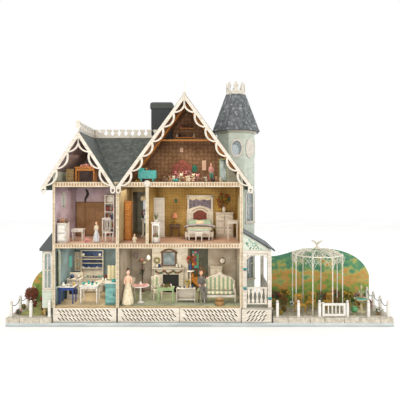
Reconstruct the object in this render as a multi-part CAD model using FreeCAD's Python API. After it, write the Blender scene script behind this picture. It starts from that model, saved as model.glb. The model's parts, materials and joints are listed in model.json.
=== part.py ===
"""Wooden dollhouse at 1:12 with a porch, an octagonal tower and two fenced gardens.

Millimetres, +Z up. The open room side faces -Y, the street side faces +Y. The origin is on the
underside of the base, at the middle of the whole model.
"""
import FreeCAD, Part
import math
import os

V = FreeCAD.Vector
os.makedirs("parts", exist_ok=True)

# ---- driving dimensions -------------------------------------------------------------------
half_length = 770.0        # base, half of the length along X
half_depth = 250.0         # base, half of the depth along Y
board = 14.0               # base boards
garden_back = 25.0         # rear edge of the garden boards
left_board_joint = -640.0  # where the left garden board meets the house board
right_board_joint = 300.0

wall = 9.0                 # outer and cross walls
thin_wall = 6.0            # spine walls, tower and bay walls
x_left = -588.0            # outer face of the left wall
x_right = 173.0            # outer face of the right wall
x_mid = -324.0             # right face of the wall between the two gables
x_landing = -205.0         # right face of the landing partition
y_front = -235.0           # open front of the house
y_back = 215.0             # outer face of the street wall
y_spine = 40.0             # front face of the spine walls

z_ground = 77.0            # ground floor, top
ground_thick = 6.0
storey_ground = 232.0      # clear height of the ground rooms
storey_first = 226.0       # clear height of the first floor rooms
floor_first = 19.0         # thickness of the first floor
floor_attic = 20.0

eave_drop = 2.0            # eaves of both gables, below the attic floor's underside
small_eave_x = -630.0
small_apex_x = -482.0
small_gable_high = 224.0   # from the eaves to the apex
valley_x = -334.0
main_apex_x = -61.0
main_gable_high = 374.0
main_eave_x = 212.0
roof_board = 6.0           # square to the slope
roof_front = -246.0
roof_back = 235.0
trim = 4.0                 # thickness of bargeboards, bands and corner boards

tower_x = 163.0            # tower axis
tower_y = 118.0
tower_flats = 174.0
tower_wall_high = 235.0    # above the attic floor
cornice_flats = 196.0
cornice = 6.0
tower_eave_flats = 218.0
tower_roof_high = 177.0
tower_cap_flats = 90.0
crown = 58.0

chimney = (-226.0, -132.0, 15.0, 75.0)   # x0, x1, y0, y1
chimney_neck_drop = 18.0   # neck of the stack, below the main ridge
chimney_cap_high = 34.0
chimney_cap_over = 5.0

porch_right = 290.0        # right edge of the porch deck
porch_y0 = -246.0          # front edge of the porch deck
porch_y1 = 30.0
porch_deck_z = 73.0
porch_beam_z = 290.0
porch_beam = 10.0
porch_roof_wall_z = 375.0
porch_roof_eave = (300.0, 296.0)
porch_roof_board = 5.0
post_size = 14.0

bay_left = -634.0          # kitchen bay
bay_y0 = -225.0
bay_y1 = -60.0
bay_z0 = 68.0
bay_z1 = 297.0
bay_roof_wall_z = 373.0

kerb_high = 20.0
kerb_wide = 32.0
kerb_gap = 2.0
ground_cover = 18.0        # lawn and paving
post_high = 69.0           # garden posts
post_wide = 10.0
garden_post_y = -240.0
corner_post_x = 752.0

pin_r = 1.0                # pivot pins of doors and gate
pin_clear = 0.06           # radial running clearance of the pins
pin_long = 2.5
pin_end = 0.5
door_thick = 6.0
door_gap = 1.5             # over, under and beside a door
swing_gap = 4.5            # from a pin to its jamb

gate_post_left = 478.0
gate_post_right = 589.0
gate_top = 94.0

gazebo_x = 502.0
gazebo_y = -97.0
gazebo_flats = 196.0
gazebo_ring_z = 264.0
gazebo_hub_z = 288.0
gazebo_top = 329.0

# ---- values worked out from them ----------------------------------------------------------
z_first_ceiling = z_ground + storey_ground
z_first = z_first_ceiling + floor_first
z_attic_ceiling = z_first + storey_first
z_attic = z_attic_ceiling + floor_attic
z_eave = z_attic_ceiling - eave_drop
small_apex = (small_apex_x, z_eave + small_gable_high)
main_apex = (main_apex_x, z_eave + main_gable_high)
z_below_roof = z_eave - 52
z_above_roof = main_apex[1] + 74
tower_top = z_attic + tower_wall_high
tower_roof_top = tower_top + cornice + tower_roof_high
chimney_neck_z = main_apex[1] - chimney_neck_drop
chimney_cap_z = chimney_neck_z + chimney_cap_high
tower_facet = tower_flats * math.tan(math.pi / 8)
tower_window = tower_facet - 28.07
x_left_in = x_left + wall
x_right_in = x_right - wall
x_mid_left = x_mid - wall
x_landing_left = x_landing - wall
y_back_in = y_back - wall
y_hall = y_spine + thin_wall
z_cover = board + ground_cover
z_kerb = board + kerb_high
y_cover = -half_depth + kerb_wide


# ---- small helpers ------------------------------------------------------------------------
def box(x0, x1, y0, y1, z0, z1):
    return Part.makeBox(x1 - x0, y1 - y0, z1 - z0, V(x0, y0, z0))


def rod(x, y, z0, z1, radius):
    return Part.makeCylinder(radius, z1 - z0, V(x, y, z0))


def face_of(points):
    return Part.Face(Part.makePolygon(points + [points[0]]))


def prism_y(outline, y0, y1):
    """A plate whose outline is given as (x, z) and which runs from y0 to y1."""
    return face_of([V(x, y0, z) for x, z in outline]).extrude(V(0, y1 - y0, 0))


def prism_x(outline, x0, x1):
    """A plate whose outline is given as (y, z) and which runs from x0 to x1."""
    return face_of([V(x0, y, z) for y, z in outline]).extrude(V(x1 - x0, 0, 0))


def prism_z(outline, z0, z1):
    return face_of([V(x, y, z0) for x, y in outline]).extrude(V(0, 0, z1 - z0))


def turned(x, y, profile):
    """A solid of revolution about the vertical through x, y; profile is (radius, z)."""
    points = [V(r, 0, z) for r, z in profile]
    solid = face_of(points).revolve(V(0, 0, 0), V(0, 0, 1), 360)
    solid.translate(V(x, y, 0))
    return solid


def octagon(flats):
    """Corners of an octagon with flats facing the axes, about the origin."""
    radius = flats / 2 / math.cos(math.pi / 8)
    turns = [math.pi / 8 + n * math.pi / 4 for n in range(8)]
    return [(radius * math.cos(t), radius * math.sin(t)) for t in turns]


def octagon_prism(flats, x, y, z0, z1):
    return prism_z([(x + a, y + b) for a, b in octagon(flats)], z0, z1)


def octagon_frustum(flats0, z0, flats1, z1, x, y):
    rings = []
    for flats, z in ((flats0, z0), (flats1, z1)):
        corners = [V(x + a, y + b, z) for a, b in octagon(flats)]
        rings.append(Part.makePolygon(corners + [corners[0]]))
    return Part.makeLoft(rings, True, True)


def cut(shape, *tools):
    for tool in tools:
        shape = shape.cut(tool)
    return shape


def fused(*shapes):
    result = shapes[0]
    for shape in shapes[1:]:
        result = result.fuse(shape)
    return result.removeSplitter()


def moved(shape, x=0, y=0, z=0):
    copy = shape.copy()
    copy.translate(V(x, y, z))
    return copy


def spun(shape, x, y, degrees):
    copy = shape.copy()
    copy.rotate(V(x, y, 0), V(0, 0, 1), degrees)
    return copy


def mirrored(shape, x):
    return shape.mirror(V(x, 0, 0), V(1, 0, 0))


pieces = {}


def save(node, *shapes):
    """Keep the shapes' solids under the node's name until everything is made."""
    for shape in shapes:
        pieces.setdefault(node, []).extend(shape.Solids)


def write_parts():
    for node, solids in pieces.items():
        shape = solids[0] if len(solids) == 1 else Part.makeCompound(solids)
        assert shape.isValid(), node
        shape.exportStep("parts/" + node + ".step")
        print(node, len(solids), round(shape.Volume / 1000, 1), "cm3")


# ---- base, gardens' ground ------------------------------------------------------------------
def make_base():
    house = box(left_board_joint, right_board_joint, -half_depth, half_depth, 0, board)
    left = box(-half_length, left_board_joint, -half_depth, garden_back, 0, board)
    right = box(right_board_joint, half_length, -half_depth, garden_back, 0, board)
    save("base_boards", house, left, right)

    slabs = []
    side_joints = (y_cover, -137.0, -56.0, garden_back)
    runs = (
        (-half_length, -715.0, -637.0, x_left - 2),
        (porch_right + 2, 351.0, 439.0, 497.0, 574.0, 636.0, 719.0, half_length),
    )
    for joints in runs:
        for a, b in zip(joints, joints[1:]):
            slabs.append(box(a + kerb_gap / 2, b - kerb_gap / 2, -half_depth, y_cover - 0.5,
                             board, z_kerb))
    for a, b in zip(side_joints, side_joints[1:]):
        for x0 in (-half_length, half_length - kerb_wide):
            slabs.append(box(x0, x0 + kerb_wide, a + kerb_gap / 2, b - kerb_gap / 2,
                             board, z_kerb))
    save("kerb_stones", *slabs)

    inner = half_length - kerb_wide
    save("garden_ground", box(-inner, left_board_joint, y_cover, garden_back, board, z_cover))
    save("garden_ground", box(right_board_joint, inner, y_cover, garden_back, board, z_cover))


def make_skirts():
    """Cream panels with slanted slots, under the ground floor and round the porch deck."""
    panels = []
    slot_wide = 4.0
    slot_pitch = 15.0
    spans = ((x_left + 3, x_mid_left, -1), (x_mid_left + 6, -81, -1), (-79, x_right_in + 1, -1))
    for x0, x1, lean in spans:
        panels.append(slotted_panel(x0, x1, y_front - trim, board, z_ground - ground_thick,
                                    slot_wide, slot_pitch, lean))
    panels.append(slotted_panel(x_right - 5, porch_right - 4, porch_y0 + 2, board,
                                porch_deck_z - 6, slot_wide, slot_pitch, 1))
    side = slotted_panel(0, porch_y1 - porch_y0 - 8, 0, board, porch_deck_z - 6,
                         slot_wide, slot_pitch, 1)
    side.rotate(V(0, 0, 0), V(0, 0, 1), 90)
    side.translate(V(porch_right - 4, porch_y0 + 2 + trim, 0))
    panels.append(side)
    save("lattice_skirts", *panels)


def slotted_panel(x0, x1, y, z0, z1, slot, pitch, lean):
    panel = box(x0, x1, y, y + trim, z0, z1)
    high = z1 - z0
    rise = high * 0.22
    half = slot * 0.7
    count = int((x1 - x0 - 30) // pitch)
    start = (x0 + x1) / 2 - (count - 1) * pitch / 2
    for n in range(count):
        for row, z in enumerate((z0 + high * 0.22, z0 + high * 0.5, z0 + high * 0.78)):
            x = start + n * pitch + (row % 2 * pitch / 2 - pitch / 4)
            a = (x - lean * rise / 2, z - rise / 2)
            b = (x + lean * rise / 2, z + rise / 2)
            outline = [(a[0] - half, a[1]), (a[0] + half, a[1]),
                       (b[0] + half, b[1]), (b[0] - half, b[1])]
            panel = panel.cut(prism_y(outline, y - 1, y + trim + 1))
    return panel


# ---- roof geometry --------------------------------------------------------------------------
def slope(eave_x, apex):
    return (apex[1] - z_eave) / (apex[0] - eave_x)


small_slope = slope(small_eave_x, small_apex)
main_slope = slope(valley_x, main_apex)
small_drop = roof_board * math.hypot(1, small_slope)   # roof board, measured straight down
main_drop = roof_board * math.hypot(1, main_slope)


def roof_top(x):
    """Height of the gables' upper surface over x."""
    if x < valley_x:
        return small_apex[1] - abs(x - small_apex[0]) * small_slope
    return main_apex[1] - abs(x - main_apex[0]) * main_slope


def roof_under(x):
    return roof_top(x) - (small_drop if x < valley_x else main_drop)


def under_small_gable(y0, y1):
    """The space under the small roof, down to well below the attic floor."""
    z0 = z_attic_ceiling - 80
    edge = [(small_eave_x, z0), (small_eave_x, z_eave - small_drop),
            (small_apex[0], small_apex[1] - small_drop),
            (valley_x, z_eave - small_drop), (valley_x, z0)]
    return prism_y(edge, y0, y1)


def under_main_gable(y0, y1):
    z0 = z_attic_ceiling - 80
    edge = [(valley_x, z0), (valley_x, z_eave - main_drop),
            (main_apex[0], main_apex[1] - main_drop),
            (main_eave_x, z_eave - main_drop), (main_eave_x, z0)]
    return prism_y(edge, y0, y1)


def whole_small_gable():
    edge = [(small_eave_x, z_below_roof), (small_eave_x, z_eave), small_apex,
            (valley_x, z_eave), (valley_x, z_below_roof)]
    return prism_y(edge, -half_depth, half_depth)


def whole_main_gable():
    edge = [(valley_x, z_below_roof), (valley_x, z_eave), main_apex,
            (main_eave_x, z_eave), (main_eave_x, z_below_roof)]
    return prism_y(edge, -half_depth, half_depth)


def house_body():
    """The box of the floors, walls and front bands below the attic floor's top."""
    return box(x_left, x_right, y_front - trim, y_back, 0, z_attic)


def tower_body(z0, z1):
    return octagon_prism(tower_flats, tower_x, tower_y, z0, z1)


def roof_panel(eave_x, apex, drop):
    edge = [(eave_x, z_eave), apex, (apex[0], apex[1] - drop), (eave_x, z_eave - drop)]
    return prism_y(edge, roof_front, roof_back)


cross_rise = (small_apex[1] - z_eave) / -roof_front    # slope of the cross roof


def cross_roof_z(y):
    return small_apex[1] - abs(y) * cross_rise


def make_roofs():
    solid_below = house_body()
    tower = tower_body(z_attic - 60, tower_top)
    stack = box(*chimney, z_below_roof, chimney_neck_z)
    save("small_gable_roof",
         cut(roof_panel(small_eave_x, small_apex, small_drop), solid_below),
         cut(roof_panel(valley_x, small_apex, small_drop), solid_below))
    save("main_gable_roof",
         cut(roof_panel(valley_x, main_apex, main_drop), solid_below),
         cut(roof_panel(main_eave_x, main_apex, main_drop), solid_below, tower))

    drop = roof_board * math.hypot(1, cross_rise)
    gables = whole_small_gable().fuse(whole_main_gable())
    panels = []
    for y_end in (roof_front, roof_back):
        edge = [(0, small_apex[1]), (y_end, cross_roof_z(y_end)),
                (y_end, cross_roof_z(y_end) - drop), (0, small_apex[1] - drop)]
        slab = prism_x(edge, small_apex[0] + cresting_thick / 2, main_apex[0])
        panels.append(largest(cut(slab, gables, solid_below)))
    panels[1] = cut(panels[1], stack)
    save("cross_roof", *panels)


def largest(shape):
    return max(shape.Solids, key=lambda solid: solid.Volume)


# ---- floors and walls -----------------------------------------------------------------------
stair_x0 = -228.0          # top of the stairs
stair_x1 = 24.0            # foot of the stairs
stair_y0 = y_hall + 4
stair_wide = 48.0


def make_floors():
    inner = (x_left_in, x_right_in, y_front, y_back_in)
    save("ground_floor", box(*inner, z_ground - ground_thick, z_ground))
    well = box(stair_x0, stair_x0 + 150, stair_y0 - 2, stair_y0 + stair_wide + 4,
               z_first_ceiling - 1, z_first + 1)
    pin_hole = door_hole(bedroom_door, z_first, wall)[1]
    save("first_floor", cut(box(*inner, z_first_ceiling, z_first), well, pin_hole))
    save("attic_floor", box(*inner, z_attic_ceiling, z_attic))
    bearer_z = z_ground - ground_thick
    bearers = [box(x - 6, x + 6, y_front + 10, y_back_in - 10, board, bearer_z)
               for x in (x_mid, (x_mid + x_right) / 2)]
    save("bearers", *bearers)


porch_door = {"pin_y": -52.0, "wide": 56.0, "high": 166.0}
street_door = {"pin_x": 62.0, "wide": 58.0, "high": 172.0}
bedroom_door = {"pin_y": -20.0, "wide": 50.0, "high": 178.0}
porch_door["pin_x"] = (x_right_in + x_right) / 2
bedroom_door["pin_x"] = (x_landing_left + x_landing) / 2
street_door["pin_y"] = (y_back_in + y_back) / 2


def door_leaf(door, z_floor):
    """A panelled leaf lying along +X from its pin, with a pin above and below."""
    x, y = door["pin_x"], door["pin_y"]
    half = door_thick / 2
    z0 = z_floor + door_gap
    z1 = z0 + door["high"]
    x1 = x - half + door["wide"]
    leaf = box(x - half, x1, y - half, y + half, z0, z1)
    margin = 8.0
    middle = z0 + door["high"] * 0.45
    for low, high in ((z0 + margin, middle - margin / 2), (middle + margin / 2, z1 - margin)):
        for side in (y - half - 1, y + half - 1):
            panel = box(x - half + margin, x1 - margin, side, side + 2, low, high)
            leaf = leaf.cut(panel)
    knob_z = z0 + door["high"] * 0.44
    knob = Part.makeCylinder(2.2, door_thick + 7, V(x1 - 5, y - half - 3.5, knob_z), V(0, 1, 0))
    lower = rod(x, y, z0 - door_gap - pin_long, z0, pin_r)
    upper = rod(x, y, z1, z1 + door_gap + pin_long, pin_r)
    return fused(leaf, knob, lower, upper)


def door_hole(door, z_floor, across):
    """The doorway and the two pin holes, along +X from the pin; across is the wall's depth."""
    x, y = door["pin_x"], door["pin_y"]
    z1 = z_floor + door["high"] + 2 * door_gap
    x1 = x - door_thick / 2 + door["wide"] + door_gap
    way = box(x - swing_gap, x1, y - across, y + across, z_floor, z1)
    deep = pin_long + pin_end
    holes = [rod(x, y, z_floor - deep, z_floor, pin_r + pin_clear),
             rod(x, y, z1, z1 + deep, pin_r + pin_clear)]
    return [way] + holes


def arch(width, high, depth):
    """A round-topped window hole, centred on X, standing on z = 0, running along Y."""
    r = width / 2
    shape = box(-r, r, -depth, depth, 0, high - r)
    top = Part.makeCylinder(r, 2 * depth, V(0, -depth, high - r), V(0, 1, 0))
    return shape.fuse(top)


def window_place(shape, x, y, z, turn):
    """Turn 0 faces -Y; the shape is turned about its own middle, then set in place."""
    copy = shape.copy()
    copy.rotate(V(0, 0, 0), V(0, 0, 1), turn)
    copy.translate(V(x, y, z))
    return copy


# windows: x, y of the outer wall face, sill z, turn, clear width, clear height
face_x = tower_x + tower_flats / 2
oblique = tower_flats / 2 * math.sin(math.pi / 4)
arched_windows = [
    (bay_left / 2 + x_left / 2, bay_y0, bay_z0 + 81, 0, 24.0, 139.0),
    (bay_left, (bay_y0 + bay_y1) / 2, bay_z0 + 81, -90, 60.0, 139.0),
    (x_left, -130.0, z_first + 142, -90, 40.0, 62.0),
]
for level, high in ((z_ground + 55, 130.0), (z_first + 70, 136.0)):
    arched_windows.append((tower_x + oblique, tower_y - oblique, level, 45, tower_window, high))
    arched_windows.append((face_x, tower_y, level, 90, tower_window, high))
    arched_windows.append((tower_x + oblique, tower_y + oblique, level, 135, tower_window, high))
for level, high, middles in ((z_ground + 50, 130.0, (-520, -410, -270, -120)),
                             (z_first + 48, 130.0, (-520, -410, -270, -120, 40))):
    for x in middles:
        arched_windows.append((x, y_back, level, 180, 46.0, high))
arched_windows.append((small_apex[0], y_back, z_attic + 40, 180, 40.0, 84.0))
arched_windows.append((main_apex[0], y_back, z_attic + 60, 180, 60.0, 150.0))
arched_windows.append((x_right, -175.0, z_ground + 60, 90, 44.0, 120.0))
arched_windows.append((x_right, -120.0, z_first + 60, 90, 50.0, 130.0))
casing = 7.0               # width of a window's outer frame
casing_thick = 2.5
pane_thick = 1.5


def window_holes():
    holes = []
    for x, y, z, turn, wide, high in arched_windows:
        holes.append(window_place(arch(wide, high, wall + 3), x, y, z, turn))
    return holes


def make_windows():
    frames = []
    panes = []
    bar = 3.0
    for x, y, z, turn, wide, high in arched_windows:
        outer = moved(arch(wide + 2 * casing, high + 2 * casing, casing_thick / 2),
                      y=-casing_thick / 2, z=-casing)
        frame = outer.cut(arch(wide, high, 20))
        bars = box(-bar / 2, bar / 2, -casing_thick, 0, 0, high)
        bars = bars.fuse(box(-wide / 2, wide / 2, -casing_thick, 0, high * 0.5, high * 0.5 + bar))
        bars = bars.common(arch(wide, high, 20))
        sill = box(-wide / 2 - casing - 3, wide / 2 + casing + 3, -casing_thick - 3, 0,
                   -casing - 4, -casing)
        frame = fused(frame, bars, sill)
        frames.append(window_place(frame, x, y, z, turn))
        pane = moved(arch(wide, high, pane_thick / 2), y=pane_thick / 2)
        panes.append(window_place(pane, x, y, z, turn))
    save("window_frames", *frames)
    return panes


def make_walls():
    holes = window_holes()
    tower = tower_body(z_attic, tower_top)
    left = prism_y([(x_left, board), (x_left_in, board), (x_left_in, roof_under(x_left_in)),
                    (x_left, roof_under(x_left))], y_front, y_back_in)
    kitchen_arch = window_place(arch(57.0, 155.0, wall + 2), x_left, -194.0, z_ground + 68, -90)
    save("left_wall", cut(left, kitchen_arch, *holes))

    right = prism_y([(x_right_in, board), (x_right, board), (x_right, roof_under(x_right)),
                     (x_right_in, roof_under(x_right_in))], y_front, y_back_in)
    door = [spun(hole, porch_door["pin_x"], porch_door["pin_y"], -90)
            for hole in door_hole(porch_door, z_ground, wall)]
    bay_way = [box(x_right_in - 1, x_right + 1, tower_y - 32, tower_y + 32, z, z + 190)
               for z in (z_ground, z_first)]
    save("right_wall", cut(right, tower, *door, *bay_way, *holes))

    x_low_left = small_apex[0] + (small_apex[1] - small_drop - z_attic) / small_slope
    x_low_right = main_apex[0] - (main_apex[1] - main_drop - z_attic) / main_slope
    edge = [(x_left, board), (x_left, roof_under(x_left)),
            (small_apex[0], small_apex[1] - small_drop), (x_low_left, z_attic),
            (x_low_right, z_attic), (main_apex[0], main_apex[1] - main_drop),
            (x_right, roof_under(x_right)), (x_right, board)]
    back = prism_y(edge, y_back_in, y_back)
    street_hole = door_hole(street_door, z_ground, wall)
    save("back_wall", largest(cut(back, tower, *street_hole, *holes)))

    middle = [box(x_mid_left, x_mid, y_front, y_back_in, z_ground, z_first_ceiling),
              box(x_mid_left, x_mid, y_front, y_back_in, z_first, z_attic_ceiling)]
    partition = box(x_landing_left, x_landing, y_front, y_spine, z_first, z_attic_ceiling)
    door = [spun(hole, bedroom_door["pin_x"], bedroom_door["pin_y"], -90)
            for hole in door_hole(bedroom_door, z_first, wall)]
    hall_way = box(x_mid_left - 1, x_mid + 1, y_hall + 40, y_hall + 100, z_ground, z_ground + 180)
    save("inner_walls", middle[0].cut(hall_way), moved(middle[1]))
    save("inner_walls", cut(partition, *door))

    parlour_way = box(-52, 32, y_spine - 1, y_hall + 1, z_ground, z_ground + 205)
    landing_way = box(-314, -254, y_spine - 1, y_hall + 1, z_first, z_first + 205)
    spans = ((x_left_in, x_mid_left, z_ground, z_first_ceiling),
             (x_mid, x_right_in, z_ground, z_first_ceiling),
             (x_left_in, x_mid_left, z_first, z_attic_ceiling),
             (x_mid, x_right_in, z_first, z_attic_ceiling))
    spines = [cut(box(x0, x1, y_spine, y_hall, z0, z1), parlour_way, landing_way)
              for x0, x1, z0, z1 in spans]
    attic = box(x_left_in, x_right_in, y_spine, y_hall, z_attic, main_apex[1])
    spines.append(attic.common(under_small_gable(y_front, y_back)))
    spines.append(cut(attic.common(under_main_gable(y_front, y_back)), tower))
    save("inner_walls", *[largest(spine) for spine in spines])


def make_front_trim():
    """Bands on the floors' front edges with a row of notches, corner boards and a rosette."""
    y0 = y_front - trim
    bands = []
    pitch = 11.0
    for z0, z1 in ((z_first_ceiling, z_first), (z_attic_ceiling, z_attic)):
        band = box(x_left, x_right, y0, y_front, z0, z1)
        count = int((x_right - x_left - 20) // pitch)
        slots = [box(x_left + 12 + n * pitch, x_left + 17 + n * pitch, y0 - 1, y0 + trim / 2,
                     z0 + 5, z1 - 4) for n in range(count)]
        bands.append(band.cut(Part.makeCompound(slots)))
    save("front_trim", *bands)
    boards = []
    for z0, z1 in ((z_ground - ground_thick, z_first_ceiling), (z_first, z_attic_ceiling)):
        spans = [(x_left, x_left + 10), (x_mid_left - 2, x_mid + 1), (x_right - 13, x_right)]
        if z0 == z_first:
            spans.append((x_landing_left - 2, x_landing + 1))
        for x0, x1 in spans:
            post = box(x0, x1, y0, y_front, z0, z1)
            groove = box((x0 + x1) / 2 - 1, (x0 + x1) / 2 + 1, y0 - 1, y0 + 1, z0 + 6, z1 - 6)
            boards.append(post.cut(groove))
    rosette = Part.makeCylinder(14, 3, V(x_landing - wall / 2, y0 - 3, z_attic_ceiling + 13),
                                V(0, 1, 0))
    ring = Part.makeTorus(9, 1.6, V(x_landing - wall / 2, y0 - 3, z_attic_ceiling + 13),
                          V(0, 1, 0))
    boards.append(rosette.cut(ring))
    save("front_trim", *boards)


# ---- roof trims -----------------------------------------------------------------------------
band_wide = 13.0
hump_deep = 20.0
hump_band = 7.0


def lobe(start, width, depth, thick):
    """A bulge below the line t = 0, from s = start, as a round-bottomed plate."""
    a = V(start, 0, 0)
    b = V(start + width, 0, 0)
    arc = Part.Arc(a, V(start + width / 2, 0, -depth), b).toShape()
    wire = Part.Wire([arc, Part.makeLine(b, a)])
    return Part.Face(wire).extrude(V(0, thick, 0))


def bargeboard(eave_x, apex, humps):
    """One straight-topped board with humps below it, from the eave up to the apex."""
    run = apex[0] - eave_x
    rise = apex[1] - z_eave
    length = math.hypot(run, rise)
    pitch = (length - 30) / humps
    board_solid = box(0, length + 20, 0, trim, -band_wide, 0)
    for n in range(humps):
        start = 16 + n * pitch
        hump = moved(lobe(start, pitch, hump_deep, trim), z=-band_wide)
        eye = moved(lobe(start + hump_band, pitch - 2 * hump_band - 4, hump_deep - hump_band,
                         trim + 2), y=-1, z=-band_wide)
        board_solid = board_solid.fuse(hump).cut(eye)
    board_solid.rotate(V(0, 0, 0), V(0, 1, 0), -math.degrees(math.atan2(rise, abs(run))))
    board_solid.translate(V(0, 0, z_eave))
    loop = fused(box(0, 20, 0, trim, z_eave - 14, z_eave + 6),
                 Part.makeCylinder(10, trim, V(10, 0, z_eave - 14), V(0, 1, 0)))
    loop = loop.cut(box(6, 14, -1, trim + 1, z_eave - 12, z_eave - 4))
    loop = loop.cut(Part.makeCylinder(5, trim + 2, V(10, -1, z_eave - 13), V(0, 1, 0)))
    board_solid = fused(board_solid, loop)
    if run < 0:
        board_solid = mirrored(board_solid, 0)
    board_solid.translate(V(eave_x, 0, 0))
    keep = (eave_x, apex[0] - 0.3) if run > 0 else (apex[0] + 0.3, eave_x)
    return board_solid.common(box(*keep, -1, trim + 1, z_below_roof, z_above_roof))


def make_bargeboards():
    edges = (
        ("bargeboards", ((small_eave_x, small_apex, 3), (valley_x - 1, small_apex, 3))),
        ("bargeboards", ((valley_x + 1, main_apex, 6), (main_eave_x, main_apex, 6))),
    )
    for node, sides in edges:
        boards = []
        for eave_x, apex, humps in sides:
            plate = bargeboard(eave_x, apex, humps)
            boards.append(moved(plate, y=roof_front - trim))
            boards.append(moved(plate, y=roof_back))
        save(node, *[largest(plate) for plate in boards])


cresting_high = 38.0
cresting_thick = 4.0


def cresting(length):
    """A board along +X of upright tulips on a low rail, with spade-shaped gaps between."""
    pitch = 30.0
    board_solid = box(0, length, 0, cresting_thick, 0, cresting_high)
    count = int(length // pitch)
    start = (length - count * pitch) / 2 + pitch / 2
    for n in range(count):
        x = start + n * pitch
        gap = [(x, 9), (x + 9, 20), (x + 5, 29), (x + 2.5, 34), (x + 4, 39), (x - 4, 39),
               (x - 2.5, 34), (x - 5, 29), (x - 9, 20)]
        board_solid = board_solid.cut(prism_y(gap, -1, cresting_thick + 1))
    return board_solid


def make_cresting():
    half = cresting_thick / 2
    z = small_apex[1]
    seat_front = prism_y([(-half, -half * small_slope), (0, 0), (half, -half * small_slope),
                          (half, 2), (-half, 2)], 0, roof_back - roof_front)
    seat_front = moved(seat_front, x=small_apex[0], y=roof_front, z=z)
    long = spun(cresting(roof_back - roof_front), 0, 0, 90)
    long = moved(long, x=small_apex[0] + half, y=roof_front, z=z)
    x_end = main_apex[0] - (main_apex[1] - z) / main_slope
    cross = moved(cresting(x_end - small_apex[0] + 30), x=small_apex[0] + half, y=-half, z=z)
    cross = cut(cross, whole_main_gable())
    cross_seat = box(small_apex[0] + half, x_end, -half, half, z - 3, z)
    cross_seat = cut(cross_seat, wedge_below_cross(), whole_main_gable())
    save("ridge_cresting", fused(long, seat_front), largest(fused(cross, cross_seat)))

    finial = [(small_apex[0] - 3, 0), (small_apex[0] + 3, 0), (small_apex[0] + 3, 8),
              (small_apex[0] + 11, 18), (small_apex[0] + 6, 30), (small_apex[0] + 10, 38),
              (small_apex[0], 46), (small_apex[0] - 10, 38), (small_apex[0] - 6, 30),
              (small_apex[0] - 11, 18), (small_apex[0] - 3, 8)]
    plate = moved(prism_y(finial, roof_front - trim, roof_front), z=z)
    rod_y = roof_front + 6
    spire = turned(main_apex[0], rod_y, [(0, main_apex[1] - 1), (5, main_apex[1] - 1),
                                         (6.5, main_apex[1] + 6), (3, main_apex[1] + 11),
                                         (1.1, main_apex[1] + 13), (1.1, main_apex[1] + 43),
                                         (0, main_apex[1] + 43)])
    spire = cut(spire, whole_main_gable())
    save("ridge_cresting", plate)
    save("lightning_rod", largest(spire))


def wedge_below_cross():
    edge = [(0, small_apex[1]), (roof_back, cross_roof_z(roof_back)), (roof_back, z_below_roof),
            (roof_front, z_below_roof), (roof_front, cross_roof_z(roof_front))]
    return prism_x(edge, small_apex[0], main_apex[0])


def make_chimney():
    x0, x1, y0, y1 = chimney
    stack = box(x0, x1, y0, y1, z_attic + 66, chimney_neck_z)
    stack = cut(stack, whole_main_gable(), wedge_below_cross())
    save("chimney_stack", largest(stack))
    over = chimney_cap_over
    z0, z1 = chimney_neck_z, chimney_cap_z
    cap = box(x0 - over, x1 + over, y0 - over, y1 + over, z0 + 4, z1)
    cap = cap.makeChamfer(over + 3, [edge for edge in cap.Edges
                                     if edge.BoundBox.ZMin > z1 - 0.1])
    neck = box(x0 + 3, x1 - 3, y0 + 3, y1 - 3, z0, z0 + 5)
    flue_x = (x0 + (x1 - x0) * 0.3, x0 + (x1 - x0) * 0.7)
    cap = fused(cap, neck)
    for x in flue_x:
        cap = cap.cut(rod(x, (y0 + y1) / 2, z1 - 12, z1 + 1, 9))
    save("chimney_cap", cap)


# ---- tower ----------------------------------------------------------------------------------
def make_tower():
    holes = window_holes()
    inner = tower_flats - 2 * thin_wall
    outside = box(x_right, x_right + 200, -half_depth, half_depth, board, z_attic)
    lower = tower_body(board, z_attic).cut(octagon_prism(inner, tower_x, tower_y, board, z_attic))
    floor_plates = [octagon_prism(inner, tower_x, tower_y, z - thin_wall, z).common(outside)
                    for z in (z_ground, z_first)]
    save("tower_bay", cut(lower.common(outside), *holes))
    save("tower_bay", *floor_plates)

    upper = tower_body(z_attic, tower_top)
    upper = upper.cut(octagon_prism(inner, tower_x, tower_y, z_attic, tower_top))
    eye = oval_plate(45.0, 67.0, 3 * thin_wall)
    eyes = [set_on_tower(eye, tower_flats / 2, turn) for turn in (0, 90, 180)]
    save("tower_walls", cut(upper, *eyes))

    top = tower_top + cornice
    ring = octagon_prism(cornice_flats, tower_x, tower_y, tower_top, top)
    ring = ring.cut(octagon_prism(inner, tower_x, tower_y, tower_top, top))
    save("tower_cornice", ring)
    hollow = octagon_frustum(cornice_flats - 20, top, 40.0, tower_roof_top - 12, tower_x, tower_y)
    cone = octagon_frustum(tower_eave_flats, top, tower_cap_flats, tower_roof_top,
                           tower_x, tower_y)
    save("tower_roof", cone.cut(hollow))


oval_z = z_attic + 160


def oval_plate(width, high, thick):
    """An oval solid about the origin in the XZ plane, thick along Y both ways."""
    curve = Part.Ellipse(V(0, 0, 0), high / 2, width / 2).toShape()
    face = Part.Face(Part.Wire([curve]))
    face.rotate(V(0, 0, 0), V(0, 0, 1), 90)
    face.rotate(V(0, 0, 0), V(1, 0, 0), 90)
    face.translate(V(0, thick / 2, 0))
    return face.extrude(V(0, -thick, 0))


def make_oval_windows():
    half = tower_flats / 2
    panes = []
    trims = []
    outer = oval_plate(58.0, 88.0, 3.0)
    ring = outer.cut(oval_plate(45.0, 67.0, 10.0))
    for turn in (0, 90, 180):
        trims.append(set_on_tower(ring, half + 1.5, turn))
        panes.append(set_on_tower(oval_plate(44.8, 66.8, pane_thick), half - 2, turn))
    for turn in (45, 135):
        trims.append(set_on_tower(outer, half + 1.5, turn))
    save("window_frames", *trims)
    return panes


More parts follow.
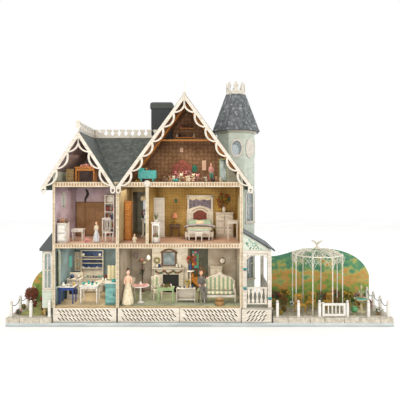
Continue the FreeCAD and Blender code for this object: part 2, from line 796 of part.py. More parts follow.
def set_on_tower(shape, out, turn):
    copy = moved(shape, y=-out)
    return window_place(copy, tower_x, tower_y, oval_z, turn)


def make_crown():
    thick = 3.5
    z0 = tower_roof_top
    inner = tower_cap_flats - 2 * thick
    ring = octagon_prism(tower_cap_flats, tower_x, tower_y, z0, z0 + crown)
    ring = ring.cut(octagon_prism(inner, tower_x, tower_y, z0, z0 + crown))
    gap = [(0, 12), (11, 22), (8, 34), (5.5, 42), (12, 52), (12, 60),
           (-12, 60), (-12, 52), (-5.5, 42), (-8, 34), (-11, 22)]
    for n in range(8):
        slot = prism_y(gap, -tower_cap_flats / 2 - 12, -tower_cap_flats / 2 + 12)
        ring = ring.cut(window_place(slot, tower_x, tower_y, z0, 22.5 + 45 * n))
    save("tower_crown", ring)


# ---- kitchen bay ----------------------------------------------------------------------------
def make_kitchen_bay():
    holes = window_holes()
    shell = box(bay_left, x_left, bay_y0, bay_y1, bay_z0, bay_z1)
    hollow = box(bay_left + thin_wall, x_left, bay_y0 + thin_wall, bay_y1 - thin_wall,
                 bay_z0 + thin_wall, bay_z1)
    save("kitchen_bay", cut(shell, hollow, *holes))
    legs = [box(bay_left + 2, bay_left + 10, y, y + 8, board, bay_z0)
            for y in (y_cover + 1, bay_y1 - 10)]
    edge = [(bay_left - 9, bay_z1), (x_left, bay_z1), (x_left, bay_roof_wall_z),
            (bay_left - 9, bay_z1 + 8)]
    lean_to = prism_y(edge, bay_y0 - 6, bay_y1 + 6)
    save("bearers", *legs)
    save("kitchen_bay_roof", lean_to)


# ---- porch ----------------------------------------------------------------------------------
def make_porch():
    bay = tower_body(board, z_attic)
    deck = box(x_right, porch_right, porch_y0, porch_y1, porch_deck_z - 6, porch_deck_z)
    save("porch_deck", deck)
    z0, z1 = porch_deck_z, porch_beam_z
    y0 = porch_y0 + 2
    x_post = porch_right - post_size - 4
    spots = ((x_right, y0), (x_post, y0), (x_post, porch_y1 - post_size))
    posts = []
    for x, y in spots:
        post = box(x, x + post_size, y, y + post_size, z0, z1)
        for face in range(4):
            groove = box(x + 5, x + 9, y - 1, y + 1, z0 + 30, z1 - 20)
            post = post.cut(spun(groove, x + post_size / 2, y + post_size / 2, 90 * face))
        posts.append(post)
    save("porch_frame", *posts)
    front = box(x_right, porch_right - 4, y0, y0 + post_size, z1, z1 + porch_beam)
    side = box(x_post, x_post + post_size, y0 + post_size, porch_y1, z1, z1 + porch_beam)
    save("porch_frame", front, cut(side, under_porch_roof(True)))

    wide = x_post - (x_right + post_size)
    front_rail = moved(railing(wide, 5), x=x_right + post_size, y=y0 + 4, z=z0)
    depth = porch_y1 - post_size - (y0 + post_size)
    side_rail = spun(railing(depth, 12), 0, 0, 90)
    side_rail = moved(side_rail, x=x_post + 10, y=y0 + post_size, z=z0)
    save("porch_railings", front_rail, side_rail)
    front_frill = moved(valance(wide), x=x_right + post_size, y=y0 + 4, z=z1)
    side_frill = moved(spun(valance(depth), 0, 0, 90), x=x_post + 9, y=y0 + post_size, z=z1)
    save("porch_valance", front_frill, side_frill)

    eave_x, eave_z = porch_roof_eave
    drop = porch_roof_board
    edge = [(x_right, porch_roof_wall_z), (eave_x, eave_z + drop), (eave_x, eave_z),
            (x_right, porch_roof_wall_z - drop)]
    roof = prism_y(edge, porch_y0 - 3, porch_y1 + 40)
    roof = cut(roof, bay, box(x_right, eave_x, porch_y0, porch_y1, z1, z1 + porch_beam))
    save("porch_roof", largest(roof))
    low = z1 + porch_beam
    edge = [(x_right, low), (porch_right - 4, low), (x_right, porch_roof_wall_z)]
    panel = prism_y(edge, y0 + 2, y0 + 2 + trim)
    save("porch_gable_panel", largest(cut(panel, under_porch_roof(False))))


def under_porch_roof(beam):
    """The roof board's own space, with all that is above it."""
    eave_x, eave_z = porch_roof_eave
    edge = [(x_right, porch_roof_wall_z - porch_roof_board), (eave_x, eave_z), (eave_x + 20, 500),
            (x_right, 500)]
    far = 1.0 if beam else 0.0
    return prism_y(edge, porch_y0 - 3 - far, porch_y1 + 40)


def railing(length, count):
    """Rails with sawn balusters between them, along +X."""
    low, high, thick = 13.0, 81.0, 5.0
    rails = [box(0, length, 0, thick, low, low + 5), box(0, length, 0, thick, high - 6, high)]
    pitch = length / count
    pieces = []
    for n in range(count):
        x = (n + 0.5) * pitch
        edge = [(-3, low + 4), (-6, low + 14), (-2.5, low + 26), (-2.5, low + 34),
                (-6, high - 18), (-3, high - 5), (3, high - 5), (6, high - 18),
                (2.5, low + 34), (2.5, low + 26), (6, low + 14), (3, low + 4)]
        pieces.append(prism_y([(x + a, z) for a, z in edge], 0.5, thick - 0.5))
    return fused(*rails, *pieces)


def valance(length):
    """A scalloped strip under the beam with a quarter-round bracket at each end."""
    thick, deep, pitch = 4.0, 12.0, 12.0
    strip = box(0, length, 0, thick, -deep, 0)
    count = int(length // pitch)
    start = (length - (count - 1) * pitch) / 2
    for n in range(count):
        bite = Part.makeCylinder(4.2, thick + 2, V(start + n * pitch, -1, -deep - 1), V(0, 1, 0))
        strip = strip.cut(bite)
    reach = 24.0
    corner = box(0, reach, 0, thick, -deep - reach, -deep)
    corner = corner.cut(Part.makeCylinder(reach, thick + 2, V(reach, -1, -deep - reach),
                                          V(0, 1, 0)))
    return fused(strip, corner, moved(mirrored(corner, 0), x=length))


# ---- doors and stairs ---------------------------------------------------------------------
def make_doors():
    save("street_door", door_leaf(street_door, z_ground))
    leaf = door_leaf(porch_door, z_ground)
    save("porch_door", spun(leaf, porch_door["pin_x"], porch_door["pin_y"], -90))
    save("bedroom_door", door_leaf(bedroom_door, z_first))


def make_stairs():
    steps = 13
    going = (stair_x1 - stair_x0) / steps
    rise = (z_first - z_ground) / steps
    edge = [(stair_x1, z_ground)]
    for n in range(steps):
        x = stair_x1 - n * going
        z = z_ground + (n + 1) * rise
        edge += [(x, z), (x - going, z)]
    thick = 26.0
    edge += [(stair_x0, z_first - thick), (stair_x1 - 24, z_ground)]
    y1 = stair_y0 + stair_wide
    flight = prism_y(edge, stair_y0, y1)
    rail_y = y1 - 3
    posts = []
    for n in range(0, steps - 1, 2):
        x = stair_x1 - (n + 0.5) * going
        z = z_ground + (n + 1) * rise
        posts.append(rod(x, rail_y, z, z + 58 + rise / 2, 1.6))
    angle_rise = rise / going
    x0, x1 = stair_x1 - 4, stair_x0 + 1.2 * going
    z0 = z_ground + rise + 58
    rail = prism_y([(x0, z0 - 3), (x1, z0 - 3 + (x0 - x1) * angle_rise),
                    (x1, z0 + 3 + (x0 - x1) * angle_rise), (x0, z0 + 3)], rail_y - 2, rail_y + 2)
    posts = [cut(post, rail) for post in posts]
    save("staircase", flight)
    save("staircase", rail, *[largest(post) for post in posts])


# ---- fireplace and attic beams --------------------------------------------------------------
breast = (-223.0, -60.0, 12.0)     # x0, x1, front y
surround = (-213.0, -79.0)


def make_fireplace():
    x0, x1, y0 = breast
    firebox = box(-173, -100, -20, y_spine - 4, z_ground, z_ground + 82)
    stack = box(x0, x1, y0, y_spine, z_ground, z_first_ceiling).cut(firebox)
    save("fireplace", stack)
    a, b = surround
    body = box(a, b, y0 - 10, y0, z_ground, z_ground + 108).cut(firebox)
    shelf = box(a - 6, b + 6, y0 - 17, y0, z_ground + 108, z_ground + 113)
    hearth = box(a - 4, b + 4, y0 - 34, y0 - 10, z_ground, z_ground + 3)
    save("fireplace", body, shelf, hearth)


def make_attic_beams():
    y = -100.0
    collar_z = z_attic + 178
    size = 7.0
    space = under_main_gable(y_front, y_back)
    rafter = [(main_apex[0], 0), (140.0, 0), (140.0, -size * 1.6), (main_apex[0], -size * 1.6)]
    edge = []
    for x, down in rafter:
        edge.append((x, roof_under(x) + down * 1.1))
    rafter_solid = prism_y(edge, y, y + size).common(space)
    left_edge = [(2 * main_apex[0] - x, z) for x, z in edge]
    left_rafter = prism_y(left_edge, y, y + size).common(space)
    collar = box(-220, 100, y, y + size, collar_z, collar_z + size).common(space)
    collar = cut(collar, rafter_solid, left_rafter)
    left_rafter = cut(left_rafter, box(main_apex[0], 200, y, y + size, z_below_roof, z_above_roof))
    save("attic_beams", largest(collar), largest(rafter_solid), largest(left_rafter))


# ---- gardens ----------------------------------------------------------------------------------
def garden_post(x, y, z0):
    half = post_wide / 2
    high = post_high
    body = box(x - half, x + half, y - half, y + half, z0, z0 + high - 9)
    neck = rod(x, y, z0 + high - 9, z0 + high - 6, half - 1.6)
    dome = Part.makeSphere(half, V(x, y, z0 + high - half))
    dome = dome.common(box(x - half, x + half, y - half, y + half, z0 + high - 7.5,
                           z0 + high + 1))
    return fused(body, neck, dome)


left_post_xs = (-corner_post_x, -673.0, -599.0)
right_post_xs = (310.0, 394.0, gate_post_left, gate_post_right, 673.0, corner_post_x)
side_post_ys = (-155.0, -75.0, 5.0)
gate_pin_x = gate_post_left + post_wide / 2 + 10
lug_low = z_kerb + 2
lug_thick = 3.0


def make_fence():
    posts = []
    for x in left_post_xs + right_post_xs:
        posts.append(garden_post(x, garden_post_y, z_kerb))
    x_face = gate_post_left + post_wide / 2
    for z in (lug_low, gate_top - lug_thick):
        lug = box(x_face, gate_pin_x + 4, garden_post_y - 4, garden_post_y + 4, z, z + lug_thick)
        hole = rod(gate_pin_x, garden_post_y, z - 1, z + lug_thick + 1, pin_r + pin_clear)
        posts.append(lug.cut(hole))
    for x in (-corner_post_x, corner_post_x):
        for y in side_post_ys:
            posts.append(garden_post(x, y, z_kerb))
    save("fence_posts", *posts)

    ropes = []
    rope_r = 1.3
    rope_z = z_kerb + post_high - 16
    sag = 15.0
    ys = (garden_post_y,) + side_post_ys
    half = post_wide / 2
    for x in (-corner_post_x, corner_post_x):
        for a, b in zip(ys, ys[1:]):
            start, end = V(x, a + half, rope_z), V(x, b - half, rope_z)
            low = V(x, (a + b) / 2, rope_z - sag)
            arc = Part.Arc(start, low, end)
            wire = Part.Wire([arc.toShape()])
            circle = Part.Wire([Part.Circle(start, arc.tangent(arc.FirstParameter)[0],
                                            rope_r).toShape()])
            rope = wire.makePipeShell([circle], True, False)
            between = box(x - 20, x + 20, a + half, b - half, 0, 200)
            ropes.append(rope.common(between))
    save("fence_ropes", *ropes)


def make_gate():
    """A framed gate with bars; its pins turn in the two lugs on the post."""
    frame = 9.0
    x0 = gate_pin_x - 4
    x1 = gate_post_right - post_wide / 2 - 2
    z0 = lug_low + lug_thick + 0.5
    z1 = gate_top - lug_thick - 0.5
    y0, y1 = garden_post_y - 3, garden_post_y + 3
    outer = box(x0, x1, y0, y1, z0, z1)
    leaf = outer.cut(box(x0 + frame, x1 - frame, y0 - 1, y1 + 1, z0 + frame, z1 - frame))
    bars = 4
    pitch = (x1 - x0 - 2 * frame) / (bars + 1)
    for n in range(bars):
        x = x0 + frame + (n + 1) * pitch
        leaf = leaf.fuse(box(x - 2, x + 2, y0 + 1, y1 - 1, z0 + frame - 1, z1 - frame + 1))
    pins = [rod(gate_pin_x, garden_post_y, z0 - 0.5 - pin_long, z0, pin_r),
            rod(gate_pin_x, garden_post_y, z1, z1 + 0.5 + pin_long, pin_r)]
    save("garden_gate", fused(leaf, *pins))


def make_gazebo():
    corners = octagon(gazebo_flats)
    pole_r = 2.2
    poles = [rod(gazebo_x + a, gazebo_y + b, z_cover, gazebo_ring_z, pole_r)
             for a, b in corners]
    save("gazebo_frame", *poles)
    ring_wide = 5.0
    outer = octagon_prism(gazebo_flats + 6, gazebo_x, gazebo_y, gazebo_ring_z,
                          gazebo_ring_z + 4)
    inner = octagon_prism(gazebo_flats + 6 - 2 * ring_wide, gazebo_x, gazebo_y, gazebo_ring_z,
                          gazebo_ring_z + 4)
    save("gazebo_ring", outer.cut(inner))
    hub_r = 8.0
    reach = gazebo_flats / 2 / math.cos(math.pi / 8)
    z0 = gazebo_ring_z + 4
    z1 = gazebo_hub_z + 8
    rib = 3.0
    edge = [(hub_r, z1 - rib), (hub_r, z1), (hub_r + 22, z1 - 8), (reach - 22, z0 + 12),
            (reach, z0 + 3), (reach, z0), (reach - rib, z0), (reach - 24, z0 + 12 - rib),
            (hub_r + 22, z1 - 8 - rib)]
    plate = prism_y(edge, -1.2, 1.2)
    ribs = [moved(spun(plate, 0, 0, 22.5 + 45 * n), x=gazebo_x, y=gazebo_y) for n in range(8)]
    hub = moved(spun(octagon_prism(2 * hub_r, 0, 0, gazebo_hub_z, z1 + 2), 0, 0, 22.5),
                x=gazebo_x, y=gazebo_y)
    save("gazebo_frame", *ribs)
    top = [(0, z1 + 2), (6, z1 + 2), (3, z1 + 8), (8, z1 + 14), (22, gazebo_top - 6),
           (28, gazebo_top - 1), (24, gazebo_top), (0, gazebo_top - 6)]
    save("gazebo_frame", hub, turned(gazebo_x, gazebo_y, top))


def make_garden_ornaments():
    x, y, z = 673.0, -155.0, z_cover
    bowl = [(0, z), (24, z), (26, z + 4), (8, z + 8), (7, z + 16), (36, z + 30), (40, z + 36),
            (36, z + 36), (8, z + 24), (4, z + 26), (4, z + 50), (20, z + 57), (22, z + 62),
            (19, z + 62), (4, z + 56), (3, z + 80), (12, z + 84), (14, z + 88), (4, z + 86),
            (2, z + 100), (3, z + 110), (0, z + 118)]
    save("garden_ornaments", turned(x, y, bowl))
    ball_x, ball_y, ball_r = 628.0, -205.0, 15.0
    stand = turned(ball_x, ball_y, [(0, z), (9, z), (9, z + 2), (6, z + 6), (0, z + 6)])
    ball = Part.makeSphere(ball_r, V(ball_x, ball_y, z + 4 + ball_r))
    save("garden_ornaments", fused(stand, ball))

    trunk = turned(-706, -150, [(0, z), (6, z), (3, z + 14), (2.5, z + 60), (0, z + 60)])
    crown_ball = Part.makeSphere(26, V(-706, -150, z + 74))
    crown_ball = crown_ball.cut(box(-740, -670, -190, -110, z, z + 60))
    save("garden_plants", trunk, crown_ball)

    pots = []
    for px, py, r, high in ((330, -40, 14, 40), (375, -30, 13, 46), (600, -30, 13, 44),
                            (655, -30, 15, 40), (700, -40, 13, 34), (728, -200, 11, 18),
                            (-665, -60, 12, 22), (-700, -20, 12, 20)):
        pots.append(turned(px, py, [(0, z), (r * 0.6, z), (r, z + high * 0.8), (r, z + high),
                                    (0, z + high)]))
    save("garden_plants", *pots)

    chairs = [garden_chair(cx, cy, turn) for cx, cy, turn in
              ((415, -165, 20), (470, -120, -30), (545, -110, 200))]
    save("garden_chairs", *chairs)


def garden_chair(x, y, turn):
    chair = seat_on_legs(34, 34, 36, 74, 3)
    chair.rotate(V(0, 0, 0), V(0, 0, 1), turn)
    chair.translate(V(x, y, z_cover))
    return chair


def seat_on_legs(wide, deep, seat_z, back_z, leg):
    """A chair about the origin, facing -Y."""
    a, b = wide / 2, deep / 2
    seat = box(-a, a, -b, b, seat_z - 4, seat_z)
    legs = [box(x, x + leg, y, y + leg, 0, seat_z - 3) for x in (-a, a - leg)
            for y in (-b, b - leg)]
    back = box(-a, a, b - leg, b, seat_z - 1, back_z)
    back = back.cut(box(-a + leg, a - leg, b - leg - 1, b + 1, seat_z + 6, back_z - 8))
    slats = [box(s - 1, s + 1, b - leg, b, seat_z - 1, back_z - 4) for s in (-a / 3, 0, a / 3)]
    return fused(seat, back, *legs, *slats)


def make_backdrops():
    """Painted hills on two free-standing boards behind the gardens."""
    y0, y1 = 11.0, 16.0
    right = hill(right_board_joint + 2, 764.0,
                 ((0, 209), (60, 214), (150, 240), (230, 245), (320, 236), (400, 205),
                  (440, 168), (462, 122)))
    left = hill(-770.0, x_left - 4, ((0, 60), (22, 118), (58, 150), (100, 166), (140, 172),
                                     (178, 169)))
    inner = half_length - kerb_wide
    kerbs = [box(-half_length - 1, -inner, y0, y1, 0, z_kerb),
             box(inner, half_length, y0, y1, 0, z_kerb)]
    save("hill_boards", cut(moved_y(right, y0, y1), *kerbs), cut(moved_y(left, y0, y1), *kerbs))


def hill(x0, x1, tops):
    """A board outline whose top is a smooth curve through the given (from x0, height) points."""
    points = [V(x0 + a, 0, z_cover + high) for a, high in tops]
    curve = Part.BSplineCurve()
    curve.interpolate(points)
    a = V(points[0].x, 0, z_cover)
    b = V(x1, 0, z_cover)
    last = V(x1, 0, points[-1].z)
    edges = [Part.makeLine(a, points[0]), curve.toShape()]
    if (last - points[-1]).Length > 0.01:
        edges.append(Part.makeLine(points[-1], last))
    edges += [Part.makeLine(last, b), Part.makeLine(b, a)]
    return Part.Face(Part.Wire(edges))


def moved_y(face, y0, y1):
    return moved(face, y=y0).extrude(V(0, y1 - y0, 0))


# ---- furniture --------------------------------------------------------------------------------
def table(x0, x1, y0, y1, z0, z1, leg=4.0, top=4.0, apron=9.0):
    """A table on four legs with an apron."""
    slab = box(x0, x1, y0, y1, z1 - top, z1)
    rim = box(x0 + 3, x1 - 3, y0 + 3, y1 - 3, z1 - top - apron, z1 - top + 1)
    rim = rim.cut(box(x0 + 6, x1 - 6, y0 + 6, y1 - 6, z0, z1 - top))
    legs = [box(x, x + leg, y, y + leg, z0, z1 - top + 1) for x in (x0 + 3, x1 - 3 - leg)
            for y in (y0 + 3, y1 - 3 - leg)]
    return fused(slab, rim, *legs)


def cabinet(x0, x1, y0, y1, z0, z1, drawers):
    """A closed cabinet with a plinth, an overhanging top and shallow drawer grooves."""
    body = box(x0 + 1.5, x1 - 1.5, y0 + 1.5, y1, z0, z1 - 3)
    top = box(x0, x1, y0, y1, z1 - 3, z1)
    case = fused(body, top)
    pitch = (z1 - z0 - 9) / drawers
    for n in range(drawers):
        za = z0 + 4 + n * pitch
        panel = box(x0 + 5, x1 - 5, y0 + 0.5, y0 + 2.5, za + 1.5, za + pitch - 1.5)
        inner = box(x0 + 7, x1 - 7, y0, y0 + 3, za + 3.5, za + pitch - 3.5)
        case = case.cut(panel.cut(inner))
    return case


def open_shelves(x0, x1, y0, y1, z0, z1, shelves):
    case = box(x0, x1, y0, y1, z0, z1)
    pitch = (z1 - z0 - 3) / shelves
    for n in range(shelves):
        za = z0 + 3 + n * pitch
        case = case.cut(box(x0 + 3, x1 - 3, y0 - 1, y1 - 3, za, za + pitch - 3))
    return case


def make_kitchen():
    z = z_ground
    save("kitchen_furniture",
         table(-576, -513, -206, -154, z, z + 69),
         table(-491, -416, -204, -148, z, z + 75),
         table(-447, -393, -120, -78, z, z + 72))
    cooker = cabinet(-567, -508, -128, -84, z, z + 88, 1)
    back = box(-565, -510, -88, -84, z + 88, z + 108)
    save("kitchen_furniture", fused(cooker, back))
    lower = cabinet(-552, -443, y_spine - 42, y_spine, z, z + 66, 2)
    upper = open_shelves(-549, -446, y_spine - 24, y_spine, z + 66, z + 190, 3)
    save("kitchen_furniture", lower, upper)
    wall_unit = open_shelves(x_left_in + 1, x_left_in + 23, y_spine - 18, y_spine, z + 95, z + 180, 1)
    save("kitchen_furniture", cabinet(-384, x_mid_left - 1, -218, -168, z, z + 88, 1), wall_unit)


def make_nursery():
    z = z_first
    save("nursery_furniture", cabinet(x_left_in + 1, -538, -222, -176, z, z + 80, 2))
    save("nursery_furniture", table(-540, -491, -150, -112, z, z + 50))
    chair = seat_on_legs(36, 36, 40, 98, 4)
    chair.rotate(V(0, 0, 0), V(0, 0, 1), 35)
    save("nursery_furniture", moved(chair, x=-384, y=-165, z=z))
    save("nursery_furniture", open_shelves(-439, -396, y_spine - 26, y_spine, z, z + 190, 5))
    save("nursery_furniture", cabinet(x_mid + 1, -294, -130, -84, z, z + 166, 6),
         turned(-262, 4, [(0, z), (12, z), (12, z + 4), (5, z + 10), (4, z + 74), (11, z + 82),
                          (11, z + 84), (0, z + 84)]))


def make_bedroom():
    z = z_first
    x0, x1 = -66.0, 56.0
    y0 = -112.0
    rails = box(x0, x1, y0, y_spine - 6, z + 12, z + 34)
    legs = [rod(x, y, z, z + 13, 3.5) for x in (x0 + 5, x1 - 5) for y in (y0 + 6, 20)]
    board_edge = [(x0, z), (x1, z), (x1, z + 120), (x1 - 30, z + 134), ((x0 + x1) / 2, z + 142),
                  (x0 + 30, z + 134), (x0, z + 120)]
    head = prism_y(board_edge, y_spine - 6, y_spine)
    save("bed_frame", fused(rails, *legs, head))
    soft = box(x0 + 2, x1 - 2, y0 + 2, y_spine - 7, z + 34.3, z + 60)
    soft = soft.makeFillet(5, [edge for edge in soft.Edges if edge.BoundBox.ZMin > z + 50])
    save("mattress", soft)
    save("bedroom_furniture",
         table(-52, 42, -158, -126, z, z + 44),
         table(-22, 12, -192, -168, z, z + 40),
         table(112, 160, -150, -112, z, z + 86),
         table(-143, -95, y_spine - 34, y_spine - 1, z, z + 57),
         table(-196, -160, -228, -196, z, z + 84))
    save("bedroom_furniture", cabinet(66, 148, y_spine - 40, y_spine, z, z + 112, 4))


def make_parlour():
    z = z_ground
    x0, x1, y0, y1 = 16.0, 146.0, -188.0, -142.0
    seat = box(x0, x1, y0, y1, z + 24, z + 34)
    legs = [box(x, x + 4, y, y + 4, z, z + 25) for x in (x0, (x0 + x1) / 2 - 2, x1 - 4)
            for y in (y0, y1 - 4)]
    edge = [(x0, z + 33), (x0, z + 84), (x0 + 12, z + 92), ((x0 + x1) / 2, z + 118),
            (x1 - 12, z + 92), (x1, z + 84), (x1, z + 33)]
    back = prism_y(edge, y1 - 5, y1)
    arms = [box(x, x + 5, y0, y1 - 4, z + 52, z + 57) for x in (x0, x1 - 5)]
    stumps = [box(x, x + 4, y0, y0 + 4, z + 33, z + 53) for x in (x0, x1 - 4)]
    save("settee", fused(seat, back, *legs, *arms, *stumps))
    pad = box(x0 + 6, x1 - 6, y0 + 1, y1 - 6, z + 34.3, z + 44)
    pad = pad.makeFillet(3, pad.Edges)
    save("settee_cushion", pad)
    chairs = []
    for x, y, turn in ((-298, -150, -20), (-186, -128, 25)):
        chair = seat_on_legs(38, 36, 40, 96, 3.5)
        chair.rotate(V(0, 0, 0), V(0, 0, 1), turn)
        chairs.append(moved(chair, x=x, y=y, z=z))
    save("parlour_furniture", *chairs)
    tea = turned(-246, -176, [(0, z), (16, z), (16, z + 2), (5, z + 8), (3.5, z + 60),
                              (14, z + 66), (36, z + 68), (36, z + 71), (0, z + 71)])
    save("parlour_furniture", tea,
         table(-176, -106, -200, -164, z, z + 66),
         open_shelves(-98, -20, -176, -146, z + 10, z + 58, 1),
         *[box(x, x + 4, y, y + 4, z, z + 10) for x in (-98, -24) for y in (-176, -150)])
    save("parlour_furniture", cabinet(40, 98, y_spine - 32, y_spine, z, z + 116, 3))
    basket = turned(80, -212, [(0, z), (16, z), (20, z + 16), (18, z + 16), (14, z + 3),
                               (0, z + 3)])
    save("parlour_furniture", basket)
    stand = turned(-268, 22, [(0, z), (13, z), (12, z + 3), (2.2, z + 6), (2.2, z + 150),
                              (0, z + 155)])
    save("parlour_furniture", stand)


def make_attic_furniture():
    z = z_attic
    save("attic_furniture", table(-524, -438, -160, -112, z, z + 64, leg=6.0, apron=12.0))
    save("attic_furniture", cabinet(-563, -530, -150, -116, z, z + 56, 3))
    edge = [(-128, z), (-40, z), (-40, z + 76), (-58, z + 88), (-84, z + 104), (-110, z + 88),
            (-128, z + 76)]
    back = prism_y(edge, -24, -14)
    seat = box(-128, -40, -58, -24, z + 8, z + 40)
    feet = [box(x, x + 6, -56, -50, z, z + 9) for x in (-126, -48)]
    save("attic_furniture", fused(back, seat, *feet))
    shell = box(-252, -180, -200, -164, z + 14, z + 48)
    shell = shell.cut(box(-248, -184, -196, -168, z + 20, z + 60))
    hood = box(-252, -228, -200, -164, z + 47, z + 58).cut(box(-248, -220, -196, -168, z, z + 54))
    rockers = []
    for x in (-242, -194):
        disc = Part.makeCylinder(60, 5, V(x, -182, z + 60), V(1, 0, 0))
        rockers.append(disc.common(box(x, x + 5, -204, -160, z, z + 15)))
    save("attic_furniture", fused(shell, hood, *rockers))
    shelf_y = y_spine - 14
    shelves = [box(-118, -26, shelf_y, y_spine, z + 206, z + 211),
               box(-98, -34, shelf_y, y_spine, z + 248, z + 253)]
    save("attic_furniture", *shelves)


def main():
    make_base()
    make_skirts()
    make_floors()
    make_walls()
    make_front_trim()
    make_roofs()
    make_bargeboards()
    make_cresting()
    make_chimney()
    make_tower()
    make_crown()
    make_kitchen_bay()
    make_porch()
    save("window_panes", *make_windows(), *make_oval_windows())
    make_doors()
    make_stairs()
    make_fireplace()
    make_attic_beams()
    make_fence()
    make_gate()
    make_gazebo()
    make_garden_ornaments()
    make_backdrops()
    make_kitchen()
    make_nursery()
    make_bedroom()
    make_parlour()
    make_attic_furniture()
    write_parts()


main()
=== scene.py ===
# %% [markdown]
# # A 1:12 wooden dollhouse, finished in Blender
# The carpenter's frame (floors, walls, roofs, doors, tables) comes packed from CAD and is
# never moved. This lesson adds what a painter, a paper-hanger, a gardener and a doll maker
# add to it: paint, wallpaper, slates, flowers, toys and dolls.

import json
import math
import random

import bmesh
import bpy
from mathutils import Matrix, Vector


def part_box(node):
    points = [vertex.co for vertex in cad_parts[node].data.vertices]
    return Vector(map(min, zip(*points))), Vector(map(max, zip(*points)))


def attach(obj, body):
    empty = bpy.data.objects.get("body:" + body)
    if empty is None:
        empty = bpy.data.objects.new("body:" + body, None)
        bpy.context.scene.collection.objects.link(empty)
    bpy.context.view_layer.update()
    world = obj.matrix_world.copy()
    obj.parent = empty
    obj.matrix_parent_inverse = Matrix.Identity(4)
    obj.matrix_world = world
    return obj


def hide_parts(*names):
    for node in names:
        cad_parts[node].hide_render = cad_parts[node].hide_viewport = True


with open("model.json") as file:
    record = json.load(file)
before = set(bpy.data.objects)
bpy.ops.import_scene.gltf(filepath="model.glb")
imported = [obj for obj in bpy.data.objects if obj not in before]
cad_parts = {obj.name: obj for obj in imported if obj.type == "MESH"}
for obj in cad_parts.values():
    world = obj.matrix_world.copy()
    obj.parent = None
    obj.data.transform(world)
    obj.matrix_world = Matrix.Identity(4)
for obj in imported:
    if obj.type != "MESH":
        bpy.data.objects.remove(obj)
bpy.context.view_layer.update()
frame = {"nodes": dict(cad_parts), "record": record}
nodes = frame["nodes"]
MM = 0.001
HOUSE = "house"

# %% [markdown]
# ## Camera, light and floor
# The eye is level with the first floor and in front of the house, so that the rooms are seen
# straight on. A camera this close shows how deep the rooms are. Two broad soft lamps and a
# pale world give the even light of a studio; a third small lamp keeps the rooms from going dark.

# %% Camera and studio
scene = bpy.context.scene
scene.view_settings.view_transform = "Standard"
eye_height = 0.546
eye_distance = 1.8
facade_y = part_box("ground_floor")[0].y

camera_data = bpy.data.cameras.new("camera")
camera = bpy.data.objects.new("camera", camera_data)
scene.collection.objects.link(camera)
scene.camera = camera
camera.location = (0.041, facade_y - eye_distance, eye_height)
camera.rotation_euler = (math.radians(90), 0, 0)
camera_data.sensor_width = 36
camera_data.lens = 40.5
camera_data.shift_x = -0.025
camera_data.shift_y = -0.0275


def colour(hex_text):
    """An sRGB hex colour as the linear numbers that a shader takes."""
    parts = [int(hex_text[n:n + 2], 16) / 255 for n in (0, 2, 4)]
    linear = [c / 12.92 if c <= 0.04045 else ((c + 0.055) / 1.055) ** 2.4 for c in parts]
    return (*linear, 1.0)


def area_lamp(name, place, aim, size, watts, tint="FFFFFF"):
    data = bpy.data.lights.new(name, "AREA")
    data.size = size
    data.energy = watts
    data.color = colour(tint)[:3]
    lamp = bpy.data.objects.new(name, data)
    lamp.location = place
    lamp.rotation_euler = (Vector(aim) - Vector(place)).to_track_quat("-Z", "Y").to_euler()
    scene.collection.objects.link(lamp)
    return lamp


area_lamp("key_lamp", (-1.6, -2.6, 2.3), (0, 0, 0.4), 1.8, 20, "FFF6EA")
area_lamp("fill_lamp", (2.2, -2.4, 1.6), (0, 0, 0.4), 2.2, 9, "EEF4FF")
area_lamp("room_lamp", (0.0, -2.3, 0.6), (0, 0, 0.4), 1.2, 8, "FFEFD8")
area_lamp("back_lamp", (0.6, 2.6, 2.2), (0, 0, 0.4), 2.2, 16, "FFFFFF")

for room, x, z, watts in (("kitchen", -456, 296, 0.45), ("parlour", -170, 296, 0.3),
                          ("parlour_right", 60, 296, 0.3), ("nursery", -456, 541, 0.3),
                          ("landing", -268, 541, 0.1), ("bedroom", -20, 541, 0.32),
                          ("attic", -60, 738, 0.4), ("small_attic", -482, 690, 0.12)):
    area_lamp(room + "_lamp", (x * MM, -0.13, z * MM), (x * MM, -0.10, 0), 0.12, watts, "FFF0D8")

world = bpy.data.worlds.new("studio")
scene.world = world
world.use_nodes = True
world.node_tree.nodes["Background"].inputs["Color"].default_value = colour("FFFFFF")
world.node_tree.nodes["Background"].inputs["Strength"].default_value = 1.0

# %% [markdown]
# ## How the materials are written
# Every finish is a small node tree. One function adds a node, sets its sockets and links
# them, so each material reads as a short list. Patterns use Object coordinates in metres, and
# their scale is one over the real spacing.

# %% Material helpers
def node(tree, kind, inputs=None, **settings):
    """Adds a node; inputs is {socket: value or the socket that feeds it}."""
    added = tree.nodes.new(kind)
    for key, value in settings.items():
        setattr(added, key, value)
    for key, value in (inputs or {}).items():
        socket = added.inputs[key]
        if isinstance(value, bpy.types.NodeSocket):
            tree.links.new(value, socket)
        else:
            socket.default_value = value
    return added


def start_material(name, roughness=0.5, **sockets):
    """A material with its shader, and its Object coordinates."""
    material = bpy.data.materials.new(name)
    material.use_nodes = True
    tree = material.node_tree
    shader = tree.nodes["Principled BSDF"]
    shader.inputs["Roughness"].default_value = roughness
    for key, value in sockets.items():
        shader.inputs[key.replace("_", " ")].default_value = value
    place = node(tree, "ShaderNodeTexCoord").outputs["Object"]
    return material, tree, shader, place


def ramp(tree, factor, *stops):
    """A colour ramp; stops are (position, hex)."""
    added = node(tree, "ShaderNodeValToRGB", {"Fac": factor})
    elements = added.color_ramp.elements
    while len(elements) < len(stops):
        elements.new(0.5)
    for element, (position, text) in zip(elements, stops):
        element.position = position
        element.color = colour(text)
    return added.outputs["Color"]


